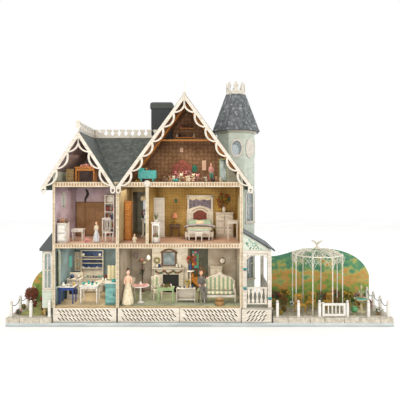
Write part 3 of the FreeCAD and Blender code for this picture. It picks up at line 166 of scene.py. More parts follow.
def noise(tree, place, size_mm, detail=3.0, stretch=(1, 1, 1)):
    """Noise whose blotches are about size_mm across."""
    spread = node(tree, "ShaderNodeMapping", {"Vector": place, "Scale": stretch})
    added = node(tree, "ShaderNodeTexNoise", {
        "Vector": spread.outputs["Vector"], "Scale": 1 / (size_mm * MM), "Detail": detail})
    return added.outputs["Fac"]


def bump(tree, shader, height, deep_mm, strength=0.5):
    added = node(tree, "ShaderNodeBump", {
        "Height": height, "Distance": deep_mm * MM, "Strength": strength})
    tree.links.new(added.outputs["Normal"], shader.inputs["Normal"])


def mix(tree, factor, a, b, blend="MIX"):
    """Mixes two colours, each a socket or a hex text."""
    added = node(tree, "ShaderNodeMix", data_type="RGBA", blend_type=blend)
    for socket, value in ((added.inputs[0], factor), (added.inputs[6], a), (added.inputs[7], b)):
        if isinstance(value, bpy.types.NodeSocket):
            tree.links.new(value, socket)
        else:
            socket.default_value = colour(value) if isinstance(value, str) else value
    return added.outputs[2]


def shade_corners(tree, base):
    """Darkens the corners a little from ambient occlusion: painted shade in corners and creases."""
    occlusion = node(tree, "ShaderNodeAmbientOcclusion", {"Distance": 0.012}, samples=4)
    shade = ramp(tree, occlusion.outputs["AO"], (0.35, "8A7A62"), (0.85, "FFFFFF"))
    return mix(tree, 0.7, base, shade, "MULTIPLY")


def painted(name, light, dark, grain_mm=9, roughness=0.45, stretch=(0.25, 1, 1)):
    """Brushed oil paint on birch ply: two close tones, brush marks, painted shade in the corners."""
    material, tree, shader, place = start_material(name, roughness)
    tone = noise(tree, place, grain_mm, 5, stretch)
    base = ramp(tree, tone, (0.35, dark), (0.68, light))
    fine = noise(tree, place, 1.6, 2, stretch)
    tree.links.new(shade_corners(tree, base), shader.inputs["Base Color"])
    bump(tree, shader, fine, 0.25, 0.35)
    return material


# %% [markdown]
# ## The paints, papers and boards
# Old satin house paint on plywood is never one flat tone: it yellows and keeps brush marks.
# Each paint has a light and a dark tone a few steps apart. The slates are cut from thin
# board and painted dull; the wallpapers are printed, so their motif repeats at a pitch that
# is a twelfth of a real paper's.

# %% House paints
cream_paint = painted("cream_satin_paint", "E4DED2", "CBC2B2")
band_paint = painted("ivory_band_paint", "DDD0B8", "C2B294")
white_paint = painted("white_gloss_paint", "ECEAE4", "D8D4CA", roughness=0.3)
sage_paint = painted("sage_satin_paint", "D3DACC", "BDC6B6", 14)
base_paint = painted("pale_blue_grey_paint", "CBD3D4", "AEB8BA", 20)
teal_paint = painted("dark_teal_paint", "2E5452", "1F3F40", 10)
sill_paint = painted("brown_fretwork_stain", "B98A5E", "8F633C", 4)
royal_blue_paint = painted("royal_blue_enamel", "2A4E9C", "1B3573", 6, 0.3)
aqua_paint = painted("aqua_enamel", "7FB4AE", "5B938E", 8, 0.3)
green_paint = painted("pale_green_enamel", "A9BE8C", "86A06B", 6, 0.35)
dark_paint = painted("lamp_black_paint", "2B2825", "171513", 6, 0.6)
gold_paint = painted("bamboo_gold_paint", "C99B3E", "A2752A", 5, 0.4)


def wooden(name, light, dark, ring_mm=3.0, roughness=0.4):
    """Varnished wood: long soft rings along X, with fine pores across them."""
    material, tree, shader, place = start_material(name, roughness)
    warped = noise(tree, place, 30, 2, (0.3, 1, 1))
    moved = node(tree, "ShaderNodeMixRGB", {"Fac": 0.03, "Color1": place, "Color2": warped})
    rings = node(tree, "ShaderNodeTexWave", {
        "Vector": moved.outputs["Color"], "Scale": 1 / (ring_mm * 6 * MM), "Distortion": 6.0,
        "Detail": 2.0}, wave_type="BANDS", bands_direction="Z")
    base = ramp(tree, rings.outputs["Fac"], (0.2, dark), (0.8, light))
    # Painted shade: the corners are darkened from ambient occlusion.
    tree.links.new(shade_corners(tree, base), shader.inputs["Base Color"])
    bump(tree, shader, rings.outputs["Fac"], 0.15, 0.3)
    return material


honey_wood = wooden("honey_varnished_pine", "E39A3F", "B86E22")
mahogany = wooden("mahogany_french_polish", "6E3A24", "42200F", roughness=0.3)
walnut = wooden("waxed_walnut", "7A5B3E", "523A25")
oak = wooden("limed_oak", "C9AE7E", "A2854F")


def boarded(name, light, dark, board_mm=9.0, along="X"):
    """Narrow floorboards with dark joints; a brick pattern gives the boards and their ends."""
    material, tree, shader, place = start_material(name, 0.5)
    turn = (0, 0, 0) if along == "X" else (0, 0, math.radians(90))
    turned = node(tree, "ShaderNodeMapping", {"Vector": place, "Rotation": turn})
    bricks = node(tree, "ShaderNodeTexBrick", {
        "Vector": turned.outputs["Vector"], "Color1": colour(light), "Color2": colour(dark),
        "Mortar": colour("3A2A1C"), "Scale": 1.0, "Brick Width": 0.11,
        "Row Height": board_mm * MM, "Mortar Size": 0.35 * MM})
    grain = noise(tree, place, 6, 4, (0.15, 1, 1) if along == "X" else (1, 0.15, 1))
    base = mix(tree, 0.5, bricks.outputs["Color"], ramp(tree, grain, (0.3, dark), (0.7, light)))
    # Painted shade: the corners are darkened from ambient occlusion.
    tree.links.new(shade_corners(tree, base), shader.inputs["Base Color"])
    bump(tree, shader, bricks.outputs["Fac"], -0.3, 0.5)
    return material


kitchen_floor = boarded("scrubbed_pine_boards", "DECBA8", "BBA681", 11, "X")
bedroom_floor = boarded("rose_waxed_boards", "D6B39C", "BC937B", 12, "X")
attic_boards = boarded("brown_attic_boards", "B8966E", "8C6C4C", 13, "Y")
porch_boards = boarded("grey_porch_boards", "B9B5A4", "97937F", 10, "X")


def papered(name, ground, figure, pitch_mm=12.0, amount=0.5, seed_shift=0.0):
    """Printed wallpaper: soft figures at a steady pitch, on a ground uneven with age, and painted shade
    in the corners.
    """
    material, tree, shader, place = start_material(name, 0.75)
    shifted = node(tree, "ShaderNodeMapping", {"Vector": place, "Location": (seed_shift,) * 3})
    cells = node(tree, "ShaderNodeTexVoronoi", {
        "Vector": shifted.outputs["Vector"], "Scale": 1 / (pitch_mm * MM), "Randomness": 0.35})
    spots = ramp(tree, cells.outputs["Distance"], (0.25, "FFFFFF"), (0.42, "000000"))
    old = noise(tree, place, 60, 3)
    age = ramp(tree, old, (0.3, "C8BFB0"), (0.7, "FFFFFF"))
    figure_mask = node(tree, "ShaderNodeMath", {0: spots, 1: amount}, operation="MULTIPLY")
    base = mix(tree, figure_mask.outputs[0], ground, figure)
    base = mix(tree, 1.0, base, age, "MULTIPLY")
    # Painted shade: the corners are darkened from ambient occlusion.
    tree.links.new(shade_corners(tree, base), shader.inputs["Base Color"])
    bump(tree, shader, noise(tree, place, 2, 2), 0.1, 0.2)
    return material


kitchen_paper = papered("slate_blue_distemper", "7E97A4", "6D8592", 8, 0.3)
parlour_paper = papered("taupe_damask_paper", "BEB6AC", "ADA498", 9, 0.5)
nursery_paper = papered("mauve_paper", "C3B6C9", "AE9FB4", 11, 0.5)
landing_paper = papered("straw_stripe_paper", "D8C9A2", "C6B488", 7, 0.4)
bedroom_paper = papered("gold_sprig_paper", "C6A45C", "A98642", 13, 0.7)
attic_paper = papered("patchwork_attic_paper", "8E6C50", "B28E68", 18, 0.8)
small_attic_paper = papered("blue_grey_attic_paper", "978A92", "82767F", 14, 0.4)
ceiling_paper = papered("buff_ceiling_paper", "C9BEA6", "BDB197", 16, 0.3)
panel_brown = papered("leathered_brown_panel", "9C7A58", "8A6846", 20, 0.4)


def carpeted(name, light, dark, tuft_mm=1.6):
    """Flock carpet: short pile, so it has no gloss and a soft sheen."""
    material, tree, shader, place = start_material(name, 0.95, Sheen_Weight=0.3)
    tufts = node(tree, "ShaderNodeTexVoronoi", {"Vector": place, "Scale": 1 / (tuft_mm * MM)})
    blotch = noise(tree, place, 30, 3)
    base = ramp(tree, blotch, (0.35, dark), (0.65, light))
    # Painted shade: the corners are darkened from ambient occlusion.
    tree.links.new(shade_corners(tree, base), shader.inputs["Base Color"])
    bump(tree, shader, tufts.outputs["Distance"], 0.6, 0.6)
    return material


green_carpet = carpeted("moss_green_carpet", "9BA37E", "7C8461")
rug_rose = carpeted("peach_wool_rug", "D7A083", "B67E62")
lawn_flock = carpeted("yellow_green_lawn", "A3A22C", "71741A", 2.4)


def slated(name, light, dark, wear="9A9C9C", wear_from=0.72):
    """Dull painted slates: each has its own tone from a per-slate attribute, with paler worn patches."""
    material, tree, shader, place = start_material(name, 0.7)
    tone = node(tree, "ShaderNodeAttribute", attribute_name="tone").outputs["Fac"]
    blotch = noise(tree, place, 12, 5)
    both = node(tree, "ShaderNodeMath", {0: tone, 1: blotch}, operation="ADD")
    half = node(tree, "ShaderNodeMath", {0: both.outputs[0], 1: 0.5}, operation="MULTIPLY")
    base = ramp(tree, half.outputs[0], (0.3, dark), (0.65, light), (wear_from, wear))
    tree.links.new(base, shader.inputs["Base Color"])
    bump(tree, shader, noise(tree, place, 3, 4), 0.5, 0.5)
    return material


house_slate = slated("green_grey_roof_slate", "636963", "474C48", "6E746E")
tower_slate = slated("weathered_tower_slate", "7B8082", "4E5254", "A3A8A8", 0.6)
stack_slate = slated("charcoal_chimney_paint", "55595B", "3A3D3F", "5E6264")

# %% [markdown]
# ## Stone, garden, glass, cloth and skin
# The same few helpers make the rest. Glass keeps its real index of refraction; porcelain is a
# smooth glaze; a doll's painted composition skin is matt with a faint shine.

# %% Other materials
def plain(name, light, dark, size_mm=6, roughness=0.5, deep_mm=0.2, **sockets):
    """A finish with two tones in soft blotches and a matching fine bump."""
    material, tree, shader, place = start_material(name, roughness, **sockets)
    base = ramp(tree, noise(tree, place, size_mm, 4), (0.35, dark), (0.65, light))
    tree.links.new(base, shader.inputs["Base Color"])
    bump(tree, shader, noise(tree, place, size_mm / 3, 3), deep_mm, 0.5)
    return material


kerb_stone = plain("cast_plaster_kerb", "D3CBBB", "AFA796", 14, 0.8, 0.5)
paving_stone = plain("grey_brown_paving", "ACA58F", "857E69", 18, 0.85, 0.5)
fountain_stone = plain("mossy_cast_stone", "D8CDA8", "8F8A55", 16, 0.75, 0.5)
green_glaze = plain("green_glazed_ball", "4F9A5C", "2E6B3B", 20, 0.12, 0.0, Coat_Weight=0.6)
turquoise_glaze = plain("turquoise_glaze", "43B7AE", "2A928C", 8, 0.2, 0.0)
blue_glaze = plain("cobalt_glaze", "34507F", "22355B", 6, 0.2, 0.0)
white_glaze = plain("white_porcelain", "F0EEE6", "DAD6CA", 8, 0.18, 0.0)
skin_paint = plain("doll_skin_paint", "E5B592", "D79F7C", 20, 0.5, 0.0)
pale_skin_paint = plain("pale_doll_skin", "F0CDB4", "E2B79B", 20, 0.5, 0.0)
blond_hair = plain("blond_mohair", "BD8636", "84591C", 2, 0.6, 0.5)
dark_hair = plain("dark_mohair", "3A2C26", "1E1613", 2, 0.6, 0.5)
brown_fur = plain("brown_toy_fur", "8C5F3A", "5C3B22", 2, 0.9, 0.6, Sheen_Weight=0.4)
tan_fur = plain("tan_toy_fur", "C08E58", "8E6236", 2, 0.9, 0.6, Sheen_Weight=0.4)
red_enamel = plain("red_toy_enamel", "B7402F", "862A20", 6, 0.35, 0.0)
pink_enamel = plain("pink_toy_enamel", "E09AA0", "C9777F", 6, 0.4, 0.0)
yellow_enamel = plain("yellow_toy_enamel", "DDB544", "B98F28", 6, 0.4, 0.0)
wicker = plain("woven_wicker", "BE9560", "8A6537", 2, 0.7, 0.6)
brass = plain("lacquered_brass", "C9A24E", "A8823A", 6, 0.3, 0.0, Metallic=1.0)
wire_white = plain("white_wire_enamel", "F0EDE2", "CFC8B0", 5, 0.4, 0.1)
wire_dark = plain("dark_iron_rope", "3C3833", "24211E", 2, 0.8, 0.3)
iron_black = plain("black_leaded_iron", "2A2A2A", "161616", 5, 0.45, 0.2)
leaf_green = plain("dyed_green_leaves", "6E7A34", "3F4A1D", 5, 0.7, 0.2)
teal_leaf = plain("blue_green_leaves", "4F7B62", "30543F", 5, 0.7, 0.2)
rust_leaf = plain("rust_brown_blossom", "8B4A2A", "5A2C1A", 3, 0.7, 0.2)


def clear_glass(name):
    """Thin acrylic sheet, almost clear, with a slight blue cast."""
    material, tree, shader, place = start_material(
        name, 0.06, IOR=1.49, Transmission_Weight=0.0, Alpha=0.32)
    base = ramp(tree, noise(tree, place, 90, 2), (0.3, "9FB4BC"), (0.7, "C6D6DA"))
    tree.links.new(base, shader.inputs["Base Color"])
    return material


window_glass = clear_glass("acrylic_window_sheet")
silvered = plain("silvered_mirror", "8E9A9A", "5B6666", 30, 0.12, 0.0, Metallic=0.6)


def woven(name, light, dark, thread_mm=1.2, sheen=0.3, stripe=None, stripe_mm=8.0):
    """Cloth: crossed threads drawn as coarse as they have to be to show, often with stripes."""
    material, tree, shader, place = start_material(name, 0.85, Sheen_Weight=sheen)
    over = node(tree, "ShaderNodeTexWave", {"Vector": place, "Scale": 0.16 / (thread_mm * MM)},
                bands_direction="X")
    under = node(tree, "ShaderNodeTexWave", {"Vector": place, "Scale": 0.16 / (thread_mm * MM)},
                 bands_direction="Z")
    weave = node(tree, "ShaderNodeMath", {0: over.outputs["Fac"], 1: under.outputs["Fac"]},
                 operation="MULTIPLY")
    base = ramp(tree, noise(tree, place, 9, 3), (0.35, dark), (0.65, light))
    if stripe:
        bands = node(tree, "ShaderNodeTexWave", {
            "Vector": place, "Scale": 0.16 / (stripe_mm * MM)}, bands_direction="X")
        base = mix(tree, ramp(tree, bands.outputs["Fac"], (0.45, "000000"), (0.55, "FFFFFF")),
                   base, stripe)
    tree.links.new(base, shader.inputs["Base Color"])
    bump(tree, shader, weave.outputs[0], 0.3, 0.4)
    return material


cover_mauve = woven("mauve_satin_cover", "ABA2A8", "877D86", sheen=0.5)
drape_mauve = woven("grey_purple_drape", "8D8492", "655C6C", sheen=0.5)
striped_silk = woven("green_striped_silk", "E2D9BE", "CBC09E", stripe="8FA184", stripe_mm=9)
mint_cloth = woven("mint_pillow_cloth", "BBD5BF", "93B49B")
cream_cloth = woven("cream_linen", "EBE0C6", "D2C4A2")
pink_cloth = woven("rose_pink_cloth", "DDA59B", "C4867E")
blue_cloth = woven("blue_white_cotton", "B9C6D0", "8EA2B4", stripe="E9E6DC", stripe_mm=3)
grey_cloth = woven("grey_suiting", "77736C", "56524C")
red_velvet = woven("red_brown_velvet", "8A4638", "5D2B23", sheen=0.7)
turquoise_cloth = woven("turquoise_towelling", "45C0BC", "279A98")
yellow_cloth = woven("yellow_gingham", "DCC87E", "C2A957", stripe="E7E2CC", stripe_mm=4)
lampshade_cloth = woven("apricot_lampshade", "E9A283", "D4825F")
green_cloth = woven("clown_green_cloth", "3F8F77", "2C6E5B")

# %% [markdown]
# ## Studio
# A plain floor lies just under the base board.

# %% Floor of the studio
floor_mesh = bpy.data.meshes.new("studio_floor")
size = 6.0
floor_drop = 0.0005
corners = ((-size, -size), (size, -size), (size, size), (-size, size))
floor_mesh.from_pydata([(x, y, -floor_drop) for x, y in corners], [], [(0, 1, 2, 3)])
studio_floor = bpy.data.objects.new("studio_floor", floor_mesh)
scene.collection.objects.link(studio_floor)
studio_paper = plain("white_studio_paper", "FFFFFF", "FBFBFA", 400, 0.9, 0.0)
floor_mesh.materials.append(studio_paper)
print("studio ready; facade at", round(facade_y, 3))

# %% [markdown]
# ## How the shapes are made
# A miniature maker turns, saws, bends and glues. The class below does the same: it gathers
# small solids in millimetres into one piece, each solid with its own finish. Sawn parts get
# their edges broken, turned parts are lathed from a profile, and wires follow a line of points.

# %% A piece gathered from small solids
class Piece:
    """Collects solids in mm, in a local place that can be moved and turned."""

    def __init__(self, name):
        self.name = name
        self.mesh = bmesh.new()
        self.finishes = []
        self.here = Matrix.Identity(4)

    def at(self, x=0, y=0, z=0, turn=0, lean=0, size=1.0):
        """Puts the next solids at x, y, z, turned about Z and leaned about X."""
        self.here = (Matrix.Translation((x, y, z)) @ Matrix.Rotation(math.radians(turn), 4, "Z")
                     @ Matrix.Rotation(math.radians(lean), 4, "X") @ Matrix.Scale(size, 4))
        return self

    def _take(self, part, finish, smooth=False):
        """Adds a finished bmesh in the current place and gives it its material."""
        if finish not in self.finishes:
            self.finishes.append(finish)
        bmesh.ops.recalc_face_normals(part, faces=part.faces)
        part.transform(self.here)
        index = self.finishes.index(finish)
        for face in part.faces:
            face.material_index = index
            face.smooth = smooth
        loose = bpy.data.meshes.new("part")
        part.to_mesh(loose)
        part.free()
        self.mesh.from_mesh(loose)
        bpy.data.meshes.remove(loose)

    def box(self, x0, x1, y0, y1, z0, z1, finish, edge=0.4):
        part = bmesh.new()
        bmesh.ops.create_cube(part, size=1)
        for vert in part.verts:
            vert.co = ((x0 + x1) / 2 + vert.co.x * (x1 - x0),
                       (y0 + y1) / 2 + vert.co.y * (y1 - y0),
                       (z0 + z1) / 2 + vert.co.z * (z1 - z0))
        edge = min(edge, (x1 - x0) / 4, (y1 - y0) / 4, (z1 - z0) / 4)
        bmesh.ops.bevel(part, geom=part.edges, offset=edge, segments=1, affect="EDGES")
        self._take(part, finish)

    def prism(self, outline, axis, low, high, finish, smooth=False):
        """A flat outline pushed along an axis; outline points are the other two axes in order."""
        part = bmesh.new()
        order = {"x": (2, 0, 1), "y": (0, 2, 1), "z": (0, 1, 2)}[axis]
        rings = []
        for level in (low, high):
            ring = []
            for u, v in outline:
                value = (u, v, level)
                ring.append(part.verts.new([value[n] for n in order]))
            rings.append(ring)
        part.faces.new(rings[0])
        part.faces.new(list(reversed(rings[1])))
        for n in range(len(outline)):
            m = (n + 1) % len(outline)
            part.faces.new((rings[0][n], rings[0][m], rings[1][m], rings[1][n]))
        self._take(part, finish, smooth)

    def lathe(self, profile, finish, steps=20, lobes=0, deep=0.0):
        """Turns (radius, height) points about the local Z; lobes flute it."""
        part = bmesh.new()
        rings = []
        for radius, height in profile:
            ring = []
            for n in range(steps):
                angle = 2 * math.pi * n / steps
                wave = 1 + deep * math.cos(lobes * angle)
                ring.append(part.verts.new((radius * wave * math.cos(angle),
                                            radius * wave * math.sin(angle), height)))
            rings.append(ring)
        for low, high in zip(rings, rings[1:]):
            for n in range(steps):
                m = (n + 1) % steps
                part.faces.new((low[n], low[m], high[m], high[n]))
        part.faces.new(rings[0])
        part.faces.new(list(reversed(rings[-1])))
        self._take(part, finish, True)

    def ball(self, x, y, z, rx, ry, rz, finish, steps=14):
        """A rounded lump with three half sizes."""
        part = bmesh.new()
        bmesh.ops.create_uvsphere(part, u_segments=steps, v_segments=max(6, steps // 2 + 1), radius=1)
        for vert in part.verts:
            vert.co = (x + vert.co.x * rx, y + vert.co.y * ry, z + vert.co.z * rz)
        self._take(part, finish, True)

    def tube(self, points, radius, finish, steps=8, ends=None):
        """A round bar along points; ends is the radius at the last point, if it tapers."""
        part = bmesh.new()
        points = [Vector(p) for p in points]
        rings = []
        side = None
        for n, point in enumerate(points):
            ahead = points[min(n + 1, len(points) - 1)] - points[max(n - 1, 0)]
            ahead.normalize()
            if side is None:
                side = ahead.orthogonal().normalized()
            side = (side - ahead * side.dot(ahead)).normalized()
            up = ahead.cross(side)
            share = n / (len(points) - 1)
            r = radius if ends is None else radius + (ends - radius) * share
            rings.append([part.verts.new(point + (side * math.cos(a) + up * math.sin(a)) * r)
                          for a in (2 * math.pi * k / steps for k in range(steps))])
        for low, high in zip(rings, rings[1:]):
            for n in range(steps):
                m = (n + 1) % steps
                part.faces.new((low[n], low[m], high[m], high[n]))
        part.faces.new(rings[0])
        part.faces.new(list(reversed(rings[-1])))
        self._take(part, finish, True)

    def solid_from(self, source, pick, finish):
        """Copies the loose parts of a CAD node whose middle is picked, with broken edges."""
        part = bmesh.new()
        part.from_mesh(frame["nodes"][source].data)
        bmesh.ops.scale(part, vec=(1000, 1000, 1000), verts=part.verts)
        bmesh.ops.remove_doubles(part, verts=part.verts, dist=0.001)
        drop = []
        seen = set()
        for first in part.verts:
            if first.index in seen:
                continue
            group, queue = [], [first]
            seen.add(first.index)
            while queue:
                vert = queue.pop()
                group.append(vert)
                for edge in vert.link_edges:
                    other = edge.other_vert(vert)
                    if other.index not in seen:
                        seen.add(other.index)
                        queue.append(other)
            low = [min(v.co[k] for v in group) for k in range(3)]
            high = [max(v.co[k] for v in group) for k in range(3)]
            middle = [(a + b) / 2 for a, b in zip(low, high)]
            if not all(a <= m <= b for (a, b), m in zip(pick, middle)):
                drop.extend(group)
        bmesh.ops.delete(part, geom=drop, context="VERTS")
        bmesh.ops.dissolve_limit(part, angle_limit=0.01, verts=part.verts, edges=part.edges)
        sharp = [e for e in part.edges if e.calc_face_angle(0) > 0.7]
        bmesh.ops.bevel(part, geom=sharp, offset=0.35, segments=1, affect="EDGES",
                        clamp_overlap=True)
        self._take(part, finish)
        return self

    def done(self, slot_name, body=HOUSE, replaces=()):
        """Makes the Blender object: its place is in its vertices and its object stays put."""
        made = made_from(self.name, self.mesh, self.finishes)
        return settle(made, body, replaces)


def made_from(name, part, finishes):
    """Turns a bmesh in mm into an object in metres, and uses the bmesh up."""
    bmesh.ops.scale(part, vec=(MM, MM, MM), verts=part.verts)
    data = bpy.data.meshes.new(name)
    part.to_mesh(data)
    part.free()
    for finish in finishes:
        data.materials.append(finish)
    made = bpy.data.objects.new(name, data)
    scene.collection.objects.link(made)
    return made


def settle(made, body=HOUSE, replaces=()):
    """Hands a piece to the frame: what it moves with and what it stands for."""
    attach(made, body)
    if replaces:
        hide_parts(*replaces)
    return made


# %% [markdown]
# ## Paper, boards and carpet
# Paper and floor coverings are cut to the walls and floors they are glued to. Each skin takes
# the flat faces of a CAD node that look one way, trims them to the room, and gives them a
# thickness of 0.4 mm. So a skin has the very window and door holes of its wall.

# %% Skins cut to their walls
def skin(name, source, look, low, high, finish, slot_name, thick=0.4, keep=0.99):
    """Covers the faces of a node that look one way, inside a box in mm."""
    part = bmesh.new()
    part.from_mesh(frame["nodes"][source].data)
    bmesh.ops.scale(part, vec=(1000, 1000, 1000), verts=part.verts)
    bmesh.ops.remove_doubles(part, verts=part.verts, dist=0.001)
    look = Vector(look).normalized()
    part.normal_update()
    away = [face for face in part.faces if face.normal.dot(look) < keep]
    bmesh.ops.delete(part, geom=away, context="FACES")
    for axis in range(3):
        for side, level in ((-1, low[axis]), (1, high[axis])):
            normal = [0, 0, 0]
            normal[axis] = side
            place = [0, 0, 0]
            place[axis] = level
            bmesh.ops.bisect_plane(part, geom=part.verts[:] + part.edges[:] + part.faces[:],
                                   plane_co=place, plane_no=normal, clear_outer=True, dist=0.001)
    if not part.faces:
        print("no faces for", name)
        part.free()
        return None
    bmesh.ops.dissolve_limit(part, angle_limit=0.01, verts=part.verts, edges=part.edges)
    bmesh.ops.triangulate(part, faces=part.faces)
    bottom = part.faces[:]
    grown = bmesh.ops.extrude_face_region(part, geom=bottom)
    moved = [g for g in grown["geom"] if isinstance(g, bmesh.types.BMVert)]
    raised = set(moved)
    for vert in part.verts:
        vert.co += look * (thick if vert in raised else 0.02)
    bmesh.ops.recalc_face_normals(part, faces=part.faces)
    return settle(made_from(name, part, [finish]))


# %% [markdown]
# The rooms, each with its floor level, ceiling level and side walls in millimetres. The front
# edge stops short of the cut edge of the boards, which stay painted.

# %% Room skins
rooms = {
    "kitchen": (-579, -333, 77, 309, kitchen_paper, kitchen_floor),
    "parlour": (-324, 164, 77, 309, parlour_paper, green_carpet),
    "nursery": (-579, -333, 328, 554, nursery_paper, bedroom_floor),
    "landing": (-324, -214, 328, 554, landing_paper, bedroom_floor),
    "bedroom": (-205, 164, 328, 554, bedroom_paper, bedroom_floor),
    "small_attic": (-620, -336, 574, 790, small_attic_paper, attic_boards),
    "main_attic": (-324, 210, 574, 930, attic_paper, attic_boards),
}
front = -233.0             # papers and boards start behind the cut edges
spine_face = 40            # front face of the wall behind the rooms
floor_of = {77: "ground_floor", 328: "first_floor", 574: "attic_floor"}
ceiling_of = {309: "first_floor", 554: "attic_floor"}
for room, (x0, x1, z0, z1, paper, boards) in rooms.items():
    skin(room + "_boards", floor_of[z0], (0, 0, 1), (x0, front, z0 - 1),
         (x1, spine_face, z0 + 1), boards, "pine", 0.6)
    if z1 in ceiling_of:
        skin(room + "_ceiling", ceiling_of[z1], (0, 0, -1), (x0, front, z1 - 1),
             (x1, spine_face, z1 + 1), ceiling_paper, "wallpaper")
    skin(room + "_back_paper", "inner_walls", (0, -1, 0), (x0, spine_face - 1, z0),
         (x1, spine_face + 1, z1), paper, "wallpaper")
for room, source, look, x0, z0, z1, paper in (
        ("kitchen_left", "left_wall", (1, 0, 0), -579, 77, 309, kitchen_paper),
        ("kitchen_right", "inner_walls", (-1, 0, 0), -333, 77, 309, kitchen_paper),
        ("parlour_left", "inner_walls", (1, 0, 0), -324, 77, 309, parlour_paper),
        ("parlour_right", "right_wall", (-1, 0, 0), 164, 77, 309, parlour_paper),
        ("nursery_left", "left_wall", (1, 0, 0), -579, 328, 554, nursery_paper),
        ("nursery_right", "inner_walls", (-1, 0, 0), -333, 328, 554, nursery_paper),
        ("landing_left", "inner_walls", (1, 0, 0), -324, 328, 554, landing_paper),
        ("landing_right", "inner_walls", (-1, 0, 0), -214, 328, 554, landing_paper),
        ("bedroom_left", "inner_walls", (1, 0, 0), -205, 328, 554, bedroom_paper),
        ("bedroom_right", "right_wall", (-1, 0, 0), 164, 328, 554, bedroom_paper)):
    skin(room + "_paper", source, look, (x0 - 1, front, z0), (x0 + 1, spine_face, z1), paper,
         "wallpaper")
small_rise, main_rise = (776 - 552) / 148, (926 - 552) / 273
for name, source, look, low, high, paper in (
        ("small_attic_left", "small_gable_roof", (small_rise, 0, -1), (-640, front, 575),
         (-470, 40, 790), small_attic_paper),
        ("small_attic_right", "small_gable_roof", (-small_rise, 0, -1), (-500, front, 575),
         (-334, 40, 790), small_attic_paper),
        ("main_attic_left", "main_gable_roof", (main_rise, 0, -1), (-340, front, 575),
         (-50, 40, 940), attic_paper),
        ("main_attic_right", "main_gable_roof", (-main_rise, 0, -1), (-70, front, 575),
         (215, 40, 940), attic_paper)):
    skin(name + "_paper", source, look, low, high, paper, "wallpaper", keep=0.97)

# %% [markdown]
# ## Slates, one by one
# On the real model each slate is a chip of board glued in lapped courses. Geometry Nodes does
# the gluing: a grid of points, every other row shifted by half a slate, one chip on each, its
# own tone and a slight wobble. Roof planes taper, so the chips are trimmed to the sloping edges
# of the plane. Change the inputs and the courses follow.

# %% The slate laying tree
def group_tree(name, inputs):
    """A Geometry Nodes tree with named inputs; returns it with its in and out nodes."""
    tree = bpy.data.node_groups.new(name, "GeometryNodeTree")
    face = tree.interface
    face.new_socket("Geometry", in_out="INPUT", socket_type="NodeSocketGeometry")
    for key, (kind, value) in inputs.items():
        socket = face.new_socket(key, in_out="INPUT", socket_type=kind)
        if value is not None:
            socket.default_value = value
    face.new_socket("Geometry", in_out="OUTPUT", socket_type="NodeSocketGeometry")
    return tree, node(tree, "NodeGroupInput"), node(tree, "NodeGroupOutput")


def maths(tree, operation, *values):
    return node(tree, "ShaderNodeMath", dict(enumerate(values)), operation=operation).outputs[0]


FLOAT, WHOLE = "NodeSocketFloat", "NodeSocketInt"
slates, given, out = group_tree("lapped_slates", {
    "Bottom width": (FLOAT, 0.3), "Top width": (FLOAT, 0.3), "Lean": (FLOAT, 0.0),
    "Length": (FLOAT, 0.3), "Slate width": (FLOAT, 0.014), "Course": (FLOAT, 0.013),
    "Thickness": (FLOAT, 0.0009), "Gap": (FLOAT, 0.0005), "Seed": (WHOLE, 1),
    "Finish": ("NodeSocketMaterial", None)})
g = given.outputs
widest = maths(slates, "ADD", maths(slates, "MAXIMUM", g["Bottom width"], g["Top width"]),
               maths(slates, "MULTIPLY", maths(slates, "ABSOLUTE", g["Lean"]), 2.0))
columns = maths(slates, "ADD", maths(slates, "CEIL", maths(
    slates, "DIVIDE", widest, g["Slate width"])), 2.0)
rows = maths(slates, "CEIL", maths(slates, "DIVIDE", g["Length"], g["Course"]))
count = maths(slates, "MULTIPLY", columns, rows)
points = node(slates, "GeometryNodePoints", {"Count": count})
number = node(slates, "GeometryNodeInputIndex").outputs[0]
row = maths(slates, "FLOOR", maths(slates, "DIVIDE", maths(slates, "ADD", number, 0.5), columns))
column = maths(slates, "SUBTRACT", number, maths(slates, "MULTIPLY", row, columns))
shift = maths(slates, "MULTIPLY", maths(slates, "MODULO", row, 2.0), 0.5)
middle = maths(slates, "MULTIPLY", maths(slates, "SUBTRACT", columns, 1.0), 0.5)
along = maths(slates, "MULTIPLY", maths(
    slates, "SUBTRACT", maths(slates, "ADD", column, shift), middle), g["Slate width"])
up = maths(slates, "MULTIPLY", row, g["Course"])
spot = node(slates, "ShaderNodeCombineXYZ", {"X": along, "Y": up, "Z": 0.0})
laid = node(slates, "GeometryNodeSetPosition", {
    "Geometry": points.outputs[0], "Position": spot.outputs[0]})
chip_wide = maths(slates, "SUBTRACT", g["Slate width"], g["Gap"])
chip_long = maths(slates, "MULTIPLY", g["Course"], 1.35)
chip_size = node(slates, "ShaderNodeCombineXYZ", {
    "X": chip_wide, "Y": chip_long, "Z": g["Thickness"]})
chip = node(slates, "GeometryNodeMeshCube", {"Size": chip_size.outputs[0]})
raised = node(slates, "GeometryNodeTransform", {
    "Geometry": chip.outputs["Mesh"],
    "Translation": node(slates, "ShaderNodeCombineXYZ", {
        "X": 0.0, "Y": maths(slates, "MULTIPLY", chip_long, 0.5),
        "Z": maths(slates, "MULTIPLY", g["Thickness"], 1.25)}).outputs[0],
    "Rotation": (-0.045, 0.0, 0.0)})
wobble = node(slates, "FunctionNodeRandomValue", {
    "Min": (-0.02, 0.0, -0.025), "Max": (0.02, 0.0, 0.025), "Seed": g["Seed"]},
    data_type="FLOAT_VECTOR")
glued = node(slates, "GeometryNodeInstanceOnPoints", {
    "Points": laid.outputs[0], "Instance": raised.outputs[0], "Rotation": wobble.outputs[0]})
toned = node(slates, "FunctionNodeRandomValue", {
    "Min": 0.2, "Max": 0.8, "Seed": maths(slates, "ADD", g["Seed"], 7.0)}, data_type="FLOAT")
